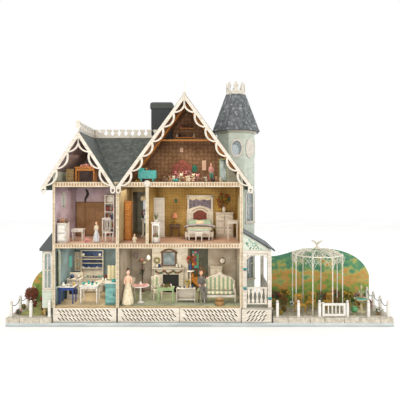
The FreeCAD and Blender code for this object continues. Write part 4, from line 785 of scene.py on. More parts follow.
marked = node(slates, "GeometryNodeStoreNamedAttribute", {
    "Geometry": glued.outputs[0], "Name": "tone", "Value": toned.outputs[1]},
    data_type="FLOAT", domain="INSTANCE")
real = node(slates, "GeometryNodeRealizeInstances", {"Geometry": marked.outputs[0]})
where = node(slates, "ShaderNodeSeparateXYZ", {
    "Vector": node(slates, "GeometryNodeInputPosition").outputs[0]}).outputs
level = maths(slates, "MINIMUM", maths(slates, "MAXIMUM", where["Y"], 0.0), g["Length"])
share = maths(slates, "DIVIDE", level, g["Length"])
half = maths(slates, "MULTIPLY", 0.5, maths(slates, "ADD", g["Bottom width"], maths(
    slates, "MULTIPLY", share, maths(slates, "SUBTRACT", g["Top width"], g["Bottom width"]))))
centre = maths(slates, "MULTIPLY", share, g["Lean"])
left = maths(slates, "SUBTRACT", centre, half)
right = maths(slates, "ADD", centre, half)
trimmed = maths(slates, "MINIMUM", maths(slates, "MAXIMUM", where["X"], left), right)
cut_edge = node(slates, "GeometryNodeSetPosition", {
    "Geometry": real.outputs[0], "Position": node(slates, "ShaderNodeCombineXYZ", {
        "X": trimmed, "Y": level, "Z": where["Z"]}).outputs[0]})
painted_slates = node(slates, "GeometryNodeSetMaterial", {
    "Geometry": cut_edge.outputs[0], "Material": g["Finish"]})
slates.links.new(painted_slates.outputs[0], out.inputs[0])


def grow(name, tree, values, place=None):
    """Runs a Geometry Nodes tree with these inputs and keeps what it made as a plain mesh."""
    seed = bpy.data.objects.new(name + "_seed", bpy.data.meshes.new(name + "_seed"))
    scene.collection.objects.link(seed)
    modifier = seed.modifiers.new("grow", "NODES")
    modifier.node_group = tree
    names = {s.name: s.identifier for s in tree.interface.items_tree if s.in_out == "INPUT"}
    for key, value in values.items():
        modifier[names[key]] = value
    seed.update_tag()
    bpy.context.view_layer.update()
    graph = bpy.context.evaluated_depsgraph_get()
    data = bpy.data.meshes.new_from_object(seed.evaluated_get(graph),
                                           preserve_all_data_layers=True, depsgraph=graph)
    data.name = name
    bpy.data.objects.remove(seed)
    if place is not None:
        data.transform(place)
    made = bpy.data.objects.new(name, data)
    scene.collection.objects.link(made)
    return made


# %% [markdown]
# Each roof plane is given by its lower edge, its upper edge and which way it faces. Flattened
# chips left by the trimming are dissolved, so that only real slates stay.

# %% Lay the slates
def slate_plane(name, low_a, low_b, top_a, top_b, finish, course=13.0, wide=14.0,
                thick=0.9, seed=1, lift=0.1, avoid=None):
    """Slates a plane between a lower edge a-b and an upper edge a-b, in mm."""
    low_a, low_b, top_a, top_b = (Vector(p) for p in (low_a, low_b, top_a, top_b))
    across = (low_b - low_a if (low_b - low_a).length > 1 else top_b - top_a).normalized()
    start = (low_a + low_b) / 2
    rise = (top_a + top_b) / 2 - start
    lean = rise.dot(across)
    climb = rise - across * lean
    length = climb.length
    climb.normalize()
    outward = across.cross(climb)
    turn = Matrix((across, climb, outward)).transposed().to_4x4()
    place = Matrix.Translation((start + outward * lift) * MM) @ turn
    made = grow(name, slates, {
        "Bottom width": (low_b - low_a).length * MM, "Top width": (top_b - top_a).length * MM,
        "Lean": lean * MM, "Length": length * MM, "Slate width": wide * MM,
        "Course": course * MM, "Thickness": thick * MM, "Gap": 0.5 * MM, "Seed": seed,
        "Finish": finish}, place)
    work = bmesh.new()
    work.from_mesh(made.data)
    work.verts.ensure_lookup_table()
    drop = []
    for first in range(0, len(work.verts), 8):
        group = work.verts[first:first + 8]
        spans = [max(v.co.dot(way) for v in group) - min(v.co.dot(way) for v in group)
                 for way in (across, climb)]
        middle = sum((v.co for v in group), Vector()) / 8
        if min(spans) < 3e-4 or (avoid and avoid(middle.x / MM, middle.y / MM)):
            drop.extend(group)
    bmesh.ops.delete(work, geom=drop, context="VERTS")
    work.to_mesh(made.data)
    work.free()
    print(name, len(made.data.polygons), "faces")
    return settle(made)


tower_x, tower_y = 163, 118


def in_tower(x, y):
    """Whether a point lies inside the tower's eight walls."""
    dx, dy = abs(x - tower_x), abs(y - tower_y)
    return max(dx, dy, (dx + dy) * 0.7071) < 90


def in_stack(x, y):
    """Whether a point lies under the chimney stack."""
    return -229 < x < -129 and 12 < y < 78


front_edge, back_edge = -245.0, 234.0
slate_plane("slates_small_left", (-630, back_edge, 552), (-630, front_edge, 552),
            (-483, back_edge, 774.5), (-483, front_edge, 774.5), house_slate, seed=2)
slate_plane("slates_small_right", (-338, front_edge, 558), (-338, back_edge, 558),
            (-481, front_edge, 774.5), (-481, back_edge, 774.5), house_slate, seed=3)
slate_plane("slates_main_left", (-330, back_edge, 557.5), (-330, front_edge, 557.5),
            (-62, back_edge, 924.6), (-62, front_edge, 924.6), house_slate, seed=4,
            avoid=in_stack)
slate_plane("slates_main_right", (212, front_edge, 552), (212, back_edge, 552),
            (-60, front_edge, 924.6), (-60, back_edge, 924.6), house_slate, seed=5,
            avoid=in_tower)
slate_plane("slates_cross_front", (-335, front_edge, 553), (-333, front_edge, 553),
            (-478, -2, 774.5), (-172, -2, 774.5), house_slate, seed=6, lift=1.2)
slate_plane("slates_cross_rear", (-327, back_edge, 563), (-341, back_edge, 563),
            (-172, 2, 774.5), (-478, 2, 774.5), house_slate, seed=7, lift=1.2,
            avoid=in_stack)
tower_low, tower_high = 109.3, 45.3        # from the axis to the eaves and to the top
low_half, high_half = 45.0, 18.4           # half of a facet's width there
for facet in range(8):
    angle = math.radians(45 * facet)
    out_way = Vector((math.cos(angle), math.sin(angle), 0))
    side_way = Vector((-math.sin(angle), math.cos(angle), 0))
    low = Vector((tower_x, tower_y, 815)) + out_way * tower_low
    high = Vector((tower_x, tower_y, 992)) + out_way * tower_high
    slate_plane("slates_tower_%d" % facet, low - side_way * low_half, low + side_way * low_half,
                high - side_way * high_half, high + side_way * high_half, tower_slate,
                course=10.5, wide=9.5, thick=0.8, seed=20 + facet)
slate_plane("slates_porch", (300, -248, 301), (300, 69, 301), (174, -248, 374.4), (174, 69, 374.4),
            tower_slate, course=12, wide=12, seed=9, avoid=in_tower)
slate_plane("slates_bay", (-643, -55, 305), (-643, -230, 305), (-589, -55, 372.5),
            (-589, -230, 372.5), tower_slate, course=11, wide=11, seed=10)

# %% [markdown]
# The chimney is boxed in thin board and faced with courses of charcoal slips, set round the four
# faces in stretcher bond.

# %% Chimney slips and lead flashing
stack = Piece("chimney_slips")
slip_long, slip_high, slip_pitch = 18.0, 7.8, 18.8
for course in range(17):
    z = 762 + course * 8.5
    shift = (course % 2) * slip_pitch / 2
    for n in range(6):
        x0 = -226 - 0.6 + n * slip_pitch - shift
        a, b = max(x0, -226.4), min(x0 + slip_long, -131.6)
        if b - a > 3:
            for near, far in ((14.1, 15.2), (74.8, 75.9)):
                stack.box(a, b, near, far, z, z + slip_high, stack_slate, 0.3)
    for n in range(4):
        y0 = 14.4 + n * slip_pitch - shift
        a, b = max(y0, 14.4), min(y0 + slip_long, 75.6)
        if b - a > 3:
            for near, far in ((-226.9, -225.8), (-132.2, -131.1)):
                stack.box(near, far, a, b, z, z + slip_high, stack_slate, 0.3)
stack.done("slate")

# %% [markdown]
# ## Pegs in the floor bands
# The bands across the floors' front edges carry a row of little stained uprights, like a
# cornice's dentils. Each sits in its sawn notch. A small Geometry Nodes row sets them out.

# %% The dentil row
row_tree, given, out = group_tree("row_of_pegs", {
    "Count": (WHOLE, 60), "Pitch": (FLOAT, 0.011), "Width": (FLOAT, 0.0044),
    "Depth": (FLOAT, 0.0028), "Height": (FLOAT, 0.009), "Finish": ("NodeSocketMaterial", None)})
g = given.outputs
line = node(row_tree, "GeometryNodeMeshLine", {
    "Count": g["Count"], "Offset": node(row_tree, "ShaderNodeCombineXYZ", {
        "X": g["Pitch"]}).outputs[0]}, mode="OFFSET")
peg = node(row_tree, "GeometryNodeMeshCube", {"Size": node(row_tree, "ShaderNodeCombineXYZ", {
    "X": g["Width"], "Y": g["Depth"], "Z": g["Height"]}).outputs[0]})
pegs = node(row_tree, "GeometryNodeInstanceOnPoints", {
    "Points": line.outputs[0], "Instance": peg.outputs["Mesh"]})
real_pegs = node(row_tree, "GeometryNodeRealizeInstances", {"Geometry": pegs.outputs[0]})
stained = node(row_tree, "GeometryNodeSetMaterial", {
    "Geometry": real_pegs.outputs[0], "Material": g["Finish"]})
row_tree.links.new(stained.outputs[0], out.inputs[0])
for level, (z0, z1) in enumerate(((309, 328), (554, 574))):
    made = grow("band_pegs_%d" % level, row_tree, {
        "Count": 67, "Pitch": 11 * MM, "Width": 4.4 * MM, "Depth": 2.6 * MM,
        "Height": (z1 - z0 - 9.6) * MM, "Finish": sill_paint},
        Matrix.Translation((-573.5 * MM, -238.4 * MM, (z0 + 5 + z1 - 4) / 2 * MM)))
    settle(made)

# %% [markdown]
# ## Paint for the carpenter's frame
# Every node of the CAD frame that stays in sight gets the paint of the real part. The ones
# whose finer twin is made in Blender later are painted too, for the collision view.

# %% Paint the frame
paint_of = {
    "board_paint": base_paint, "stone": kerb_stone, "ground": paving_stone,
    "cream_paint": cream_paint, "pine": oak, "slate": house_slate, "tower_slate": tower_slate,
    "sage_paint": sage_paint, "wallpaper": ceiling_paper, "glass": window_glass,
    "teal_paint": teal_paint, "white_paint": white_paint, "honey_wood": honey_wood,
    "fabric": cover_mauve, "rope": wire_dark, "wire": wire_white, "plants": leaf_green}
special = {"front_trim": band_paint, "porch_deck": porch_boards, "lattice_skirts": cream_paint,
           "garden_ornaments": fountain_stone, "bearers": oak}


def hills_material():
    """The scene painted on the hill boards: sky edge, woods, orange bushes and green hills."""
    material, tree, shader, place = start_material("painted_hill_scene", 0.8)
    height = node(tree, "ShaderNodeSeparateXYZ", {"Vector": place}).outputs["Z"]
    clump = noise(tree, place, 55, 2, (1, 1, 1.6))
    leafy = noise(tree, place, 14, 5)
    mixed = maths(tree, "ADD", maths(tree, "MULTIPLY", clump, 0.75),
                  maths(tree, "MULTIPLY", leafy, 0.3))
    lifted = maths(tree, "ADD", mixed, maths(tree, "MULTIPLY", maths(
        tree, "SUBTRACT", height, 0.16), 2.2))
    base = ramp(tree, lifted, (0.16, "4A6B34"), (0.36, "86A04A"), (0.46, "C98F4C"),
                (0.54, "A7AE62"), (0.62, "5F9468"), (0.74, "3F7C68"), (0.83, "8DB48A"),
                (0.95, "E4EADF"))
    tree.links.new(base, shader.inputs["Base Color"])
    return material


painted_hills = hills_material()
paint_of["painted_hills"] = painted_hills
for subpart in frame["record"]["subparts"]:
    name = subpart["node"]
    finish = special.get(name, paint_of[subpart["material_slot"]])
    data = nodes[name].data
    data.materials.clear()
    data.materials.append(finish)
print("painted", len(nodes), "nodes")

# %% [markdown]
# ## Door furniture
# Each door gets a raised field in both panels of each side, and a brass knob on a keyhole plate.
# They ride on the body that the door's pins carry. The street and porch doors rest closed. The
# bedroom door's leaf rests open, along +X, but its furniture is set out at the closed place.

# %% Door furniture
def door_furniture(name, pin_x, pin_y, floor, wide, high, turn, paint, slot_name):
    """Fits out a leaf that lies along +X from its pin before it is turned."""
    piece = Piece(name + "_furniture").at(pin_x, pin_y, floor + 1.5, turn)
    middle = high * 0.45
    knob_x, knob_z = wide - 8, high * 0.44
    for side in (-1, 1):
        for low, top in ((12, middle - 8), (middle + 8, high - 12)):
            face, back = sorted((side * 1.8, side * 2.9))
            piece.box(9, wide - 15, face, back, low, top, paint, 0.8)
        near, far = sorted((side * 2.9, side * 3.7))
        piece.box(knob_x - 2.6, knob_x + 2.6, near, far, knob_z - 7, knob_z + 5, brass, 0.3)
        piece.ball(knob_x, side * 6.6, knob_z, 3.0, 2.4, 3.0, brass, 12)
        # The dark slip on the keyhole plate is painted shade of the keyhole.
        piece.box(knob_x - 0.5, knob_x + 0.5, near, side * 3.9 if side > 0 else far,
                  knob_z - 5.6, knob_z - 3.6, dark_paint, 0.1)
    return piece.done(slot_name, name)


door_furniture("street_door", 62, 210.5, 77, 58, 172, 0, teal_paint, "teal_paint")
door_furniture("porch_door", 168.5, -52, 77, 56, 166, -90, teal_paint, "teal_paint")
door_furniture("bedroom_door", -209.5, -20, 328, 50, 178, -90, white_paint, "white_paint")

# %% [markdown]
# ## Furniture
# The furniture is turned and sawn in the CAD frame. Here each piece is taken out of its node
# by where it stands, its sawn edges are broken, and it gets its own paint, knobs and pulls.

# %% Taking furniture out of its node
def remake(name, source, x0, x1, y0, y1, finish, z0=0, z1=2000):
    """Starts a piece from the solids of a node whose middles lie in this box."""
    return Piece(name).solid_from(source, ((x0, x1), (y0, y1), (z0, z1)), finish)


def knob(piece, x, y, z, finish=brass, size=1.6):
    piece.ball(x, y - size * 0.6, z, size, size, size, finish, 8)


def panelled_front(piece, x0, x1, y, z0, z1, finish, columns=2, rows=1, pull=brass):
    """Raised door panels with a knob each on a front that faces -Y."""
    wide, high = (x1 - x0) / columns, (z1 - z0) / rows
    for column in range(columns):
        for line in range(rows):
            a, b = x0 + column * wide + 2, x0 + (column + 1) * wide - 2
            c, d = z0 + line * high + 2, z0 + (line + 1) * high - 2
            piece.box(a, b, y - 1.2, y + 0.4, c, d, finish, 0.5)
            piece.box(a + 3, b - 3, y - 2.0, y - 0.8, c + 3, d - 3, finish, 0.6)
            knob(piece, (b - 3) if column == 0 else (a + 3), y - 1.2, (c + d) / 2, pull)


blue_table = remake("kitchen_blue_table", "kitchen_furniture", -580, -509, -212, -150,
                    royal_blue_paint)
blue_table.box(-576.4, -512.6, -206.4, -153.6, 145, 147, white_paint, 0.6)
blue_table.done("cream_paint", replaces=("kitchen_furniture",))
white_table = remake("kitchen_white_table", "kitchen_furniture", -495, -410, -210, -140, white_paint)
for x in (-470, -437):
    white_table.box(x - 12, x + 12, -204.9, -203.4, 139, 147, white_paint)
    knob(white_table, x, -204.9, 143)
white_table.done("cream_paint", replaces=("kitchen_furniture",))
remake("kitchen_small_table", "kitchen_furniture", -450, -390, -125, -70, cream_paint).done(
    "cream_paint", replaces=("kitchen_furniture",))

cooker = remake("kitchen_cooker", "kitchen_furniture", -570, -500, -135, -80, cream_paint)
cooker.box(-562, -513, -129.2, -127.8, 92, 132, cream_paint, 0.6)
cooker.box(-556, -519, -130.0, -128.8, 100, 124, dark_paint, 0.6)
cooker.tube([(-558, -131.5, 135), (-517, -131.5, 135)], 0.8, brass)
for x in (-557, -547, -537, -527, -517):
    knob(cooker, x, -128.5, 155, dark_paint, 2.0)
for x in (-552, -523):
    for y in (-117, -96):
        cooker.at(x, y, 165.2)
        cooker.lathe([(8.0, 0), (8.0, 0.8), (6.4, 1.2), (2.2, 0.7)], dark_paint, 16)
cooker.at()
cooker.done("cream_paint", replaces=("kitchen_furniture",))

dresser = remake("kitchen_dresser", "kitchen_furniture", -560, -435, -10, 45, cream_paint)
panelled_front(dresser, -549, -446, -2, 80, 120, cream_paint, 3, 1)
for x in (-531, -497.5, -464):
    dresser.box(x - 15, x + 15, -3.2, -1.8, 123, 136, cream_paint, 0.5)
    knob(dresser, x, -3.2, 129.5)
dresser.box(-545, -450, 34.0, 35.6, 181, 264, blue_glaze, 0.2)
for z in (208, 237):
    dresser.box(-546, -449, 17, 34.6, z - 2, z, cream_paint, 0.4)
dresser.done("cream_paint", replaces=("kitchen_furniture",))
sink = remake("kitchen_aqua_cabinet", "kitchen_furniture", -390, -330, -225, -160, aqua_paint)
panelled_front(sink, -382, -336, -218, 82, 150, aqua_paint, 1, 1, dark_paint)
sink.box(-384.5, -333.5, -218.5, -167.5, 164, 166.5, white_paint, 0.6)
sink.at(-352, -190, 166)
sink.lathe([(9, 0), (11, 4), (11.5, 9), (10.5, 9), (9.5, 4), (2, 2)], turquoise_glaze, 20)
sink.at()
sink.tube([(-347, -220.5, 112), (-347, -222.5, 118), (-347, -220.5, 126)], 0.9, dark_paint)
sink.done("cream_paint", replaces=("kitchen_furniture",))
wall_unit = remake("kitchen_wall_cupboard", "kitchen_furniture", -580, -550, 15, 45, cream_paint)
wall_unit.done("cream_paint", replaces=("kitchen_furniture",))

# %% [markdown]
# Nursery, landing and bedroom furniture: white and cream gloss, honey pine on the landing, and
# a brown leathered panel hung on the nursery's back wall.

# %% First floor furniture
nursery = {
    "nursery_cabinet": (-582, -534, -226, -170, white_paint),
    "nursery_desk": (-545, -486, -156, -106, white_paint),
    "nursery_chair": (-410, -355, -195, -135, white_paint),
    "nursery_bookcase": (-442, -392, 8, 42, white_paint),
    "landing_cabinet": (-330, -290, -135, -80, honey_wood),
    "landing_pedestal": (-280, -244, -14, 24, white_paint)}
for name, (x0, x1, y0, y1, finish) in nursery.items():
    piece = remake(name, "nursery_furniture", x0, x1, y0, y1, finish)
    if name == "nursery_cabinet":
        panelled_front(piece, -576, -540, -222, 334, 402, white_paint, 1, 2)
    if name == "nursery_desk":
        for x in (-530, -502):
            piece.box(x - 10, x + 10, -151, -149.6, 366, 374, white_paint)
            knob(piece, x, -151, 370)
    if name == "nursery_bookcase":
        rng = random.Random(4)
        for shelf_z in (364, 401, 438, 475):
            x = -434.0
            while x < -404:
                wide = rng.uniform(3, 6)
                tall = rng.uniform(16, 24)
                piece.box(x, x + wide - 0.4, 16, 30, shelf_z - 28, shelf_z - 28 + tall,
                          rng.choice([red_enamel, blue_glaze, mahogany, green_paint]), 0.4)
                x += wide
    if name == "landing_cabinet":
        for z in (350, 385, 420, 455):
            piece.box(-318, -299, -131.2, -129.6, z, z + 26, honey_wood, 0.6)
            knob(piece, -308, -131.2, z + 13, brass)
    piece.done("white_paint", replaces=("nursery_furniture",))

bedroom = {
    "bedroom_bench": (-60, 50, -162, -120, cream_paint),
    "bedroom_stool": (-30, 20, -198, -162, cream_paint),
    "bedroom_side_table": (105, 164, -155, -108, cream_paint),
    "bedroom_lamp_table": (-150, -90, 0, 42, walnut),
    "bedroom_plant_stand": (-202, -154, -232, -190, white_paint),
    "bedroom_chest": (60, 150, -4, 42, cream_paint)}
for name, (x0, x1, y0, y1, finish) in bedroom.items():
    piece = remake(name, "bedroom_furniture", x0, x1, y0, y1, finish)
    if name == "bedroom_chest":
        for line in range(3):
            z = 342 + line * 31
            for x in (88, 126):
                piece.box(x - 17, x + 17, -1.6, 0.4, z, z + 26, cream_paint, 0.6)
                knob(piece, x - 7, -1.6, z + 13)
                knob(piece, x + 7, -1.6, z + 13)
    piece.done("cream_paint", replaces=("bedroom_furniture",))
bed = remake("bedstead", "bed_frame", -100, 100, -150, 60, cream_paint)
for x in (-64, 54):
    bed.at(x, 37, 452)
    bed.lathe([(2.5, 0), (3.4, 3), (1.6, 6), (3.6, 10), (2.6, 14), (0.4, 17)], gold_paint, 14)
bed.at()
bed.tube([(-40, 33.6, 446), (-20, 33.6, 456), (-5, 33.6, 460), (10, 33.6, 456), (30, 33.6, 446)],
         1.2, gold_paint)
bed.done("white_paint", replaces=("bed_frame",))

# %% [markdown]
# Parlour and attic furniture. The striped settee keeps its cream frame; its squab is a padded
# piece of its own.

# %% Parlour, attic and garden furniture
remake("parlour_settee", "settee", -10, 200, -230, -100, cream_paint).done(
    "cream_paint", replaces=("settee",))
parlour = {
    "parlour_chair_left": (-325, -268, -180, -115, cream_paint),
    "parlour_chair_right": (-215, -155, -160, -100, cream_paint),
    "parlour_tea_table": (-285, -215, -215, -140, white_paint),
    "parlour_green_table": (-180, -100, -205, -160, green_paint),
    "parlour_low_shelf": (-100, -16, -180, -140, cream_paint),
    "parlour_cupboard": (36, 102, 4, 42, cream_paint),
    "parlour_basket": (60, 100, -230, -195, wicker),
    "parlour_hat_stand": (-290, -246, 0, 42, mahogany)}
for name, (x0, x1, y0, y1, finish) in parlour.items():
    piece = remake(name, "parlour_furniture", x0, x1, y0, y1, finish)
    if name.startswith("parlour_chair"):
        place = (-298, -150, 77, -20) if name.endswith("left") else (-186, -128, 77, 25)
        piece.at(*place)
        piece.ball(0, -1, 41.5, 17.5, 16.5, 4.0, striped_silk, 20)
        rim = [(16 * math.cos(2 * math.pi * k / 28), 76 + 22 * math.sin(2 * math.pi * k / 28))
               for k in range(28)]
        piece.prism(rim, "y", 10.8, 13.8, striped_silk)
        piece.tube([(x, 12.2, z) for x, z in rim + rim[:1]], 2.0, cream_paint)
        for side in (-1, 1):
            piece.tube([(side * 16, 14, 62), (side * 20, 2, 60), (side * 19, -10, 56),
                        (side * 18, -14, 42)], 1.5, cream_paint)
        piece.at()
    if name == "parlour_cupboard":
        panelled_front(piece, 43, 95, 8, 82, 186, cream_paint, 2, 2)
    if name == "parlour_basket":
        for line in range(6):
            piece.at(80, -212, 80 + line * 4.2)
            piece.lathe([(12.5 + line * 0.4, -0.9), (13.6 + line * 0.4, 0),
                         (12.5 + line * 0.4, 0.9)], wicker, 28, 14, 0.05)
        piece.at()
    if name == "parlour_hat_stand":
        for angle, finish_hat in ((20, cream_cloth), (140, wicker), (260, pink_cloth)):
            a = math.radians(angle)
            piece.at(-268 + 9 * math.cos(a), 20 + 9 * math.sin(a), 208 + angle / 16, 0, 12)
            piece.lathe([(11, -0.6), (11.4, 0), (7, 0.8), (6.2, 4.5), (3.5, 6), (0.4, 6.3)],
                        finish_hat, 22)
        piece.at()
    piece.done("cream_paint", replaces=("parlour_furniture",))
attic = {
    "attic_table": (-530, -432, -166, -106, honey_wood),
    "attic_chest": (-566, -532, -154, -110, oak),
    "attic_sofa": (-132, -36, -62, -10, red_velvet),
    "attic_cradle": (-256, -176, -206, -158, turquoise_glaze)}
for name, (x0, x1, y0, y1, finish) in attic.items():
    remake(name, "attic_furniture", x0, x1, y0, y1, finish, 574, 700).done(
        "honey_wood", replaces=("attic_furniture",))
remake("attic_wall_shelves", "attic_furniture", -140, -10, 20, 45, honey_wood, 700, 900).done(
    "honey_wood", replaces=("attic_furniture",))
for name, x0, x1, y0, y1 in (("garden_chair_left", 390, 440, -190, -140),
                             ("garden_chair_middle", 445, 498, -145, -95),
                             ("garden_chair_right", 520, 572, -135, -85)):
    remake(name, "garden_chairs", x0, x1, y0, y1, gold_paint).done(
        "honey_wood", replaces=("garden_chairs",))

# %% [markdown]
# ## The fireplace, its mirror and the stained glass
# The chimney piece is painted cream over a black leaded grate. The overmantel mirror has a
# carved walnut frame; a teal wreath hangs on the breast, and a leaded coloured panel beside it.

# %% Chimney piece
grate = Piece("fireplace_grate")
for n in range(8):
    x = -164 + n * 7.9
    grate.tube([(x, -10, 79), (x, -11, 96), (x, -9, 104)], 0.8, iron_black)
grate.tube([(-168, -10, 90), (-105, -10, 90)], 0.9, iron_black)
grate.tube([(-168, -10, 103), (-105, -10, 103)], 1.1, iron_black)
for n in range(5):
    grate.tube([(-160 + n * 11, 2, 82), (-152 + n * 11, -4, 88)], 3.4, mahogany)
grate.done("cream_paint")
mirror = Piece("overmantel_mirror")
mirror.box(-176, -114, 8.4, 11.2, 196, 262, walnut, 0.8)
mirror.box(-171, -119, 7.4, 8.9, 201, 257, silvered, 0.3)
for n in range(13):
    t = n / 12
    x = -180 + 70 * t
    z = 258 + 14 * math.sin(math.pi * t)
    mirror.ball(x, 8.0, z, 4.2, 2.6, 4.2, walnut, 10)
for side in (-177, -113):
    for n in range(6):
        mirror.ball(side, 8.4, 200 + n * 10, 3.2, 2.2, 4.6, walnut, 8)
mirror.done("cream_paint")
wreath = Piece("mantel_garland")
rng = random.Random(12)
for n in range(46):
    t = n / 45
    x = -206 + 120 * t
    z = 176 - 10 * math.sin(math.pi * ((t * 3) % 1)) + rng.uniform(-2, 2)
    wreath.ball(x, -1 + rng.uniform(-1, 1), z, 3.4, 2.2, 3.2,
                rng.choice([teal_leaf, teal_leaf, leaf_green, red_enamel]), 7)
for n in range(26):
    a = 2 * math.pi * n / 26
    wreath.ball(-200 + 11 * math.cos(a), 9.5, 222 + 11 * math.sin(a), 3.6, 2.4, 3.6,
                teal_leaf if n % 3 else yellow_enamel, 7)
wreath.done("plants")
leaded = Piece("stained_glass_panel")
leaded.box(-44, -8, 37.6, 40.4, 180, 262, mahogany, 0.8)
tints = [turquoise_glaze, red_enamel, yellow_enamel, green_glaze, blue_glaze, pink_enamel]
rng = random.Random(8)
for column in range(3):
    for line in range(7):
        leaded.box(-41 + column * 10.2, -31.4 + column * 10.2, 36.4, 37.9, 183 + line * 11,
                   193 + line * 11, rng.choice(tints), 0.8)
leaded.done("glass")
clock = Piece("parlour_clock")
clock.at(98, 38.6, 215, 0, 90)
clock.lathe([(14, -1.0), (15, 1.0), (13.6, 3.6), (12.6, 2.4), (0.5, 2.4)], walnut, 32)
clock.lathe([(12.2, 2.2), (12.2, 3.0), (0.5, 3.1)], white_glaze, 32)
for n in range(12):
    a = math.radians(30 * n)
    clock.ball(10 * math.cos(a), 10 * math.sin(a), 3.2, 0.7, 0.7, 0.4, dark_paint, 6)
clock.tube([(0, 0, 3.5), (0, 7.6, 3.5)], 0.45, dark_paint)
clock.tube([(0, 0, 3.5), (5, 2.4, 3.5)], 0.55, dark_paint)
clock.done("honey_wood")

# %% [markdown]
# ## China and small household things
# Plates, jugs and bowls are turned from a profile, as real ones are thrown. They stand where
# the shelves and tables have their tops.

# %% China
bowl_profile = [(2.0, 0), (3.2, 1.6), (4.6, 4.2), (4.2, 4.4), (2.6, 2.0), (0.4, 1.2)]
jug_profile = [(2.0, 0), (3.4, 2.0), (3.8, 4.6), (2.2, 7.6), (2.6, 9.4), (2.1, 9.4), (0.4, 8.0)]
plate_profile = [(2.4, 0), (3.2, 0.5), (6.0, 1.5), (5.8, 1.9), (3.0, 1.1), (0.4, 1.0)]
cup_profile = [(1.3, 0), (2.0, 1.2), (2.3, 3.4), (2.0, 3.4), (1.4, 1.2), (0.3, 0.9)]


def china(piece, profile, x, y, z, finish, size=1.0, lean=0):
    piece.at(x, y, z, 0, lean, size)
    piece.lathe(profile, finish, 16)
    piece.at()


dishes = Piece("kitchen_china")
rng = random.Random(21)
for shelf_z in (147.6, 178.6, 209.6, 238.6):
    for n in range(8):
        x = -540 + n * 12.6
        if shelf_z < 150:
            china(dishes, rng.choice([bowl_profile, jug_profile]), x, 12, 143.2,
                  rng.choice([blue_glaze, white_glaze, turquoise_glaze]), rng.uniform(0.9, 1.3))
        else:
            china(dishes, plate_profile, x, 30, shelf_z + 6, rng.choice(
                [blue_glaze, blue_glaze, white_glaze, dark_paint]), rng.uniform(0.8, 1.1), 78)
for x, y, profile, finish, size in (
        (-480, -180, bowl_profile, turquoise_glaze, 1.8),
        (-462, -168, jug_profile, turquoise_glaze, 1.5),
        (-443, -185, bowl_profile, turquoise_glaze, 1.4),
        (-430, -166, cup_profile, turquoise_glaze, 1.8),
        (-470, -194, plate_profile, white_glaze, 1.0), (-448, -160, jug_profile, blue_glaze, 1.2)):
    china(dishes, profile, x, y, 152.3, finish, size)
for x, y, profile, finish, size in (
        (-560, -190, jug_profile, white_glaze, 1.6), (-545, -176, bowl_profile, white_glaze, 1.5),
        (-530, -188, plate_profile, blue_glaze, 1.2), (-524, -168, jug_profile, yellow_enamel, 1.2)):
    china(dishes, profile, x, y, 147.2, finish, size)
for x, y in ((-436, -104), (-420, -96), (-405, -106)):
    china(dishes, rng.choice([cup_profile, jug_profile]), x, y, 149.3, white_glaze, 1.5)
china(dishes, [(6, 0), (8, 3), (8, 9), (7, 11), (7.4, 12), (1.0, 14)], -550, -106, 166.4,
      blue_glaze)
china(dishes, [(5, 0), (6.5, 3), (5, 8), (6, 8.6), (1, 10)], -524, -100, 166.4, white_glaze)
for n in range(5):
    china(dishes, jug_profile, -567, 30, 183 + n * 14.5, rng.choice(
        [white_glaze, yellow_enamel, turquoise_glaze]), 0.8)
dishes.done("cream_paint")

tea = Piece("tea_things")
china(tea, jug_profile, -246, -176, 149.4, white_glaze, 1.4)
for x, y in ((-260, -186), (-233, -184), (-258, -162), (-231, -166)):
    china(tea, plate_profile, x, y, 149.4, white_glaze, 0.7)
    china(tea, cup_profile, x, y, 150.6, pink_enamel, 1.0)
for x in (-165, -150, -120):
    china(tea, rng.choice([jug_profile, bowl_profile]), x, -184, 143.4, white_glaze, 1.2)
for x in (-84, -66, -48, -32):
    china(tea, rng.choice([jug_profile, bowl_profile]), x, -160, 135.4, blue_glaze, 1.1)
for x in (-200, -188, -110, -94):
    china(tea, jug_profile, x, 6, 190.4, rng.choice([white_glaze, blue_glaze]), 1.6)
tea.done("cream_paint")

# %% [markdown]
# ## Cloth
# Curtains, rugs, towels and table cloths are cut from thin cotton. Each is a grid of points
# given by a small function, with its folds written in, and a back layer 0.3 mm behind it.

# %% Cloth sheets
def cloth(name, point, finish, across=48, along=24, thick=0.3,
          body=HOUSE):
    """A sheet whose point(u, v) gives mm for u and v from 0 to 1; returns the object."""
    rows = [[Vector(point(n / across, m / along)) for n in range(across + 1)]
            for m in range(along + 1)]
    part = bmesh.new()
    front_layer = [[part.verts.new(p) for p in row] for row in rows]
    for m in range(along):
        for n in range(across):
            part.faces.new((front_layer[m][n], front_layer[m][n + 1],
                            front_layer[m + 1][n + 1], front_layer[m + 1][n]))
    part.normal_update()
    normals = {v: v.normal.copy() for v in part.verts}
    grown = bmesh.ops.extrude_face_region(part, geom=part.faces[:])
    moved = [g for g in grown["geom"] if isinstance(g, bmesh.types.BMVert)]
    back = {tuple(round(c, 4) for c in v.co): normals[v] for v in normals}
    for vert in moved:
        vert.co += back[tuple(round(c, 4) for c in vert.co)] * thick
    bmesh.ops.recalc_face_normals(part, faces=part.faces)
    for face in part.faces:
        face.smooth = True
    made = settle(made_from(name, part, [finish]), body)
    return made


def pleats(u, count, deep):
    return deep * math.sin(2 * math.pi * count * u)


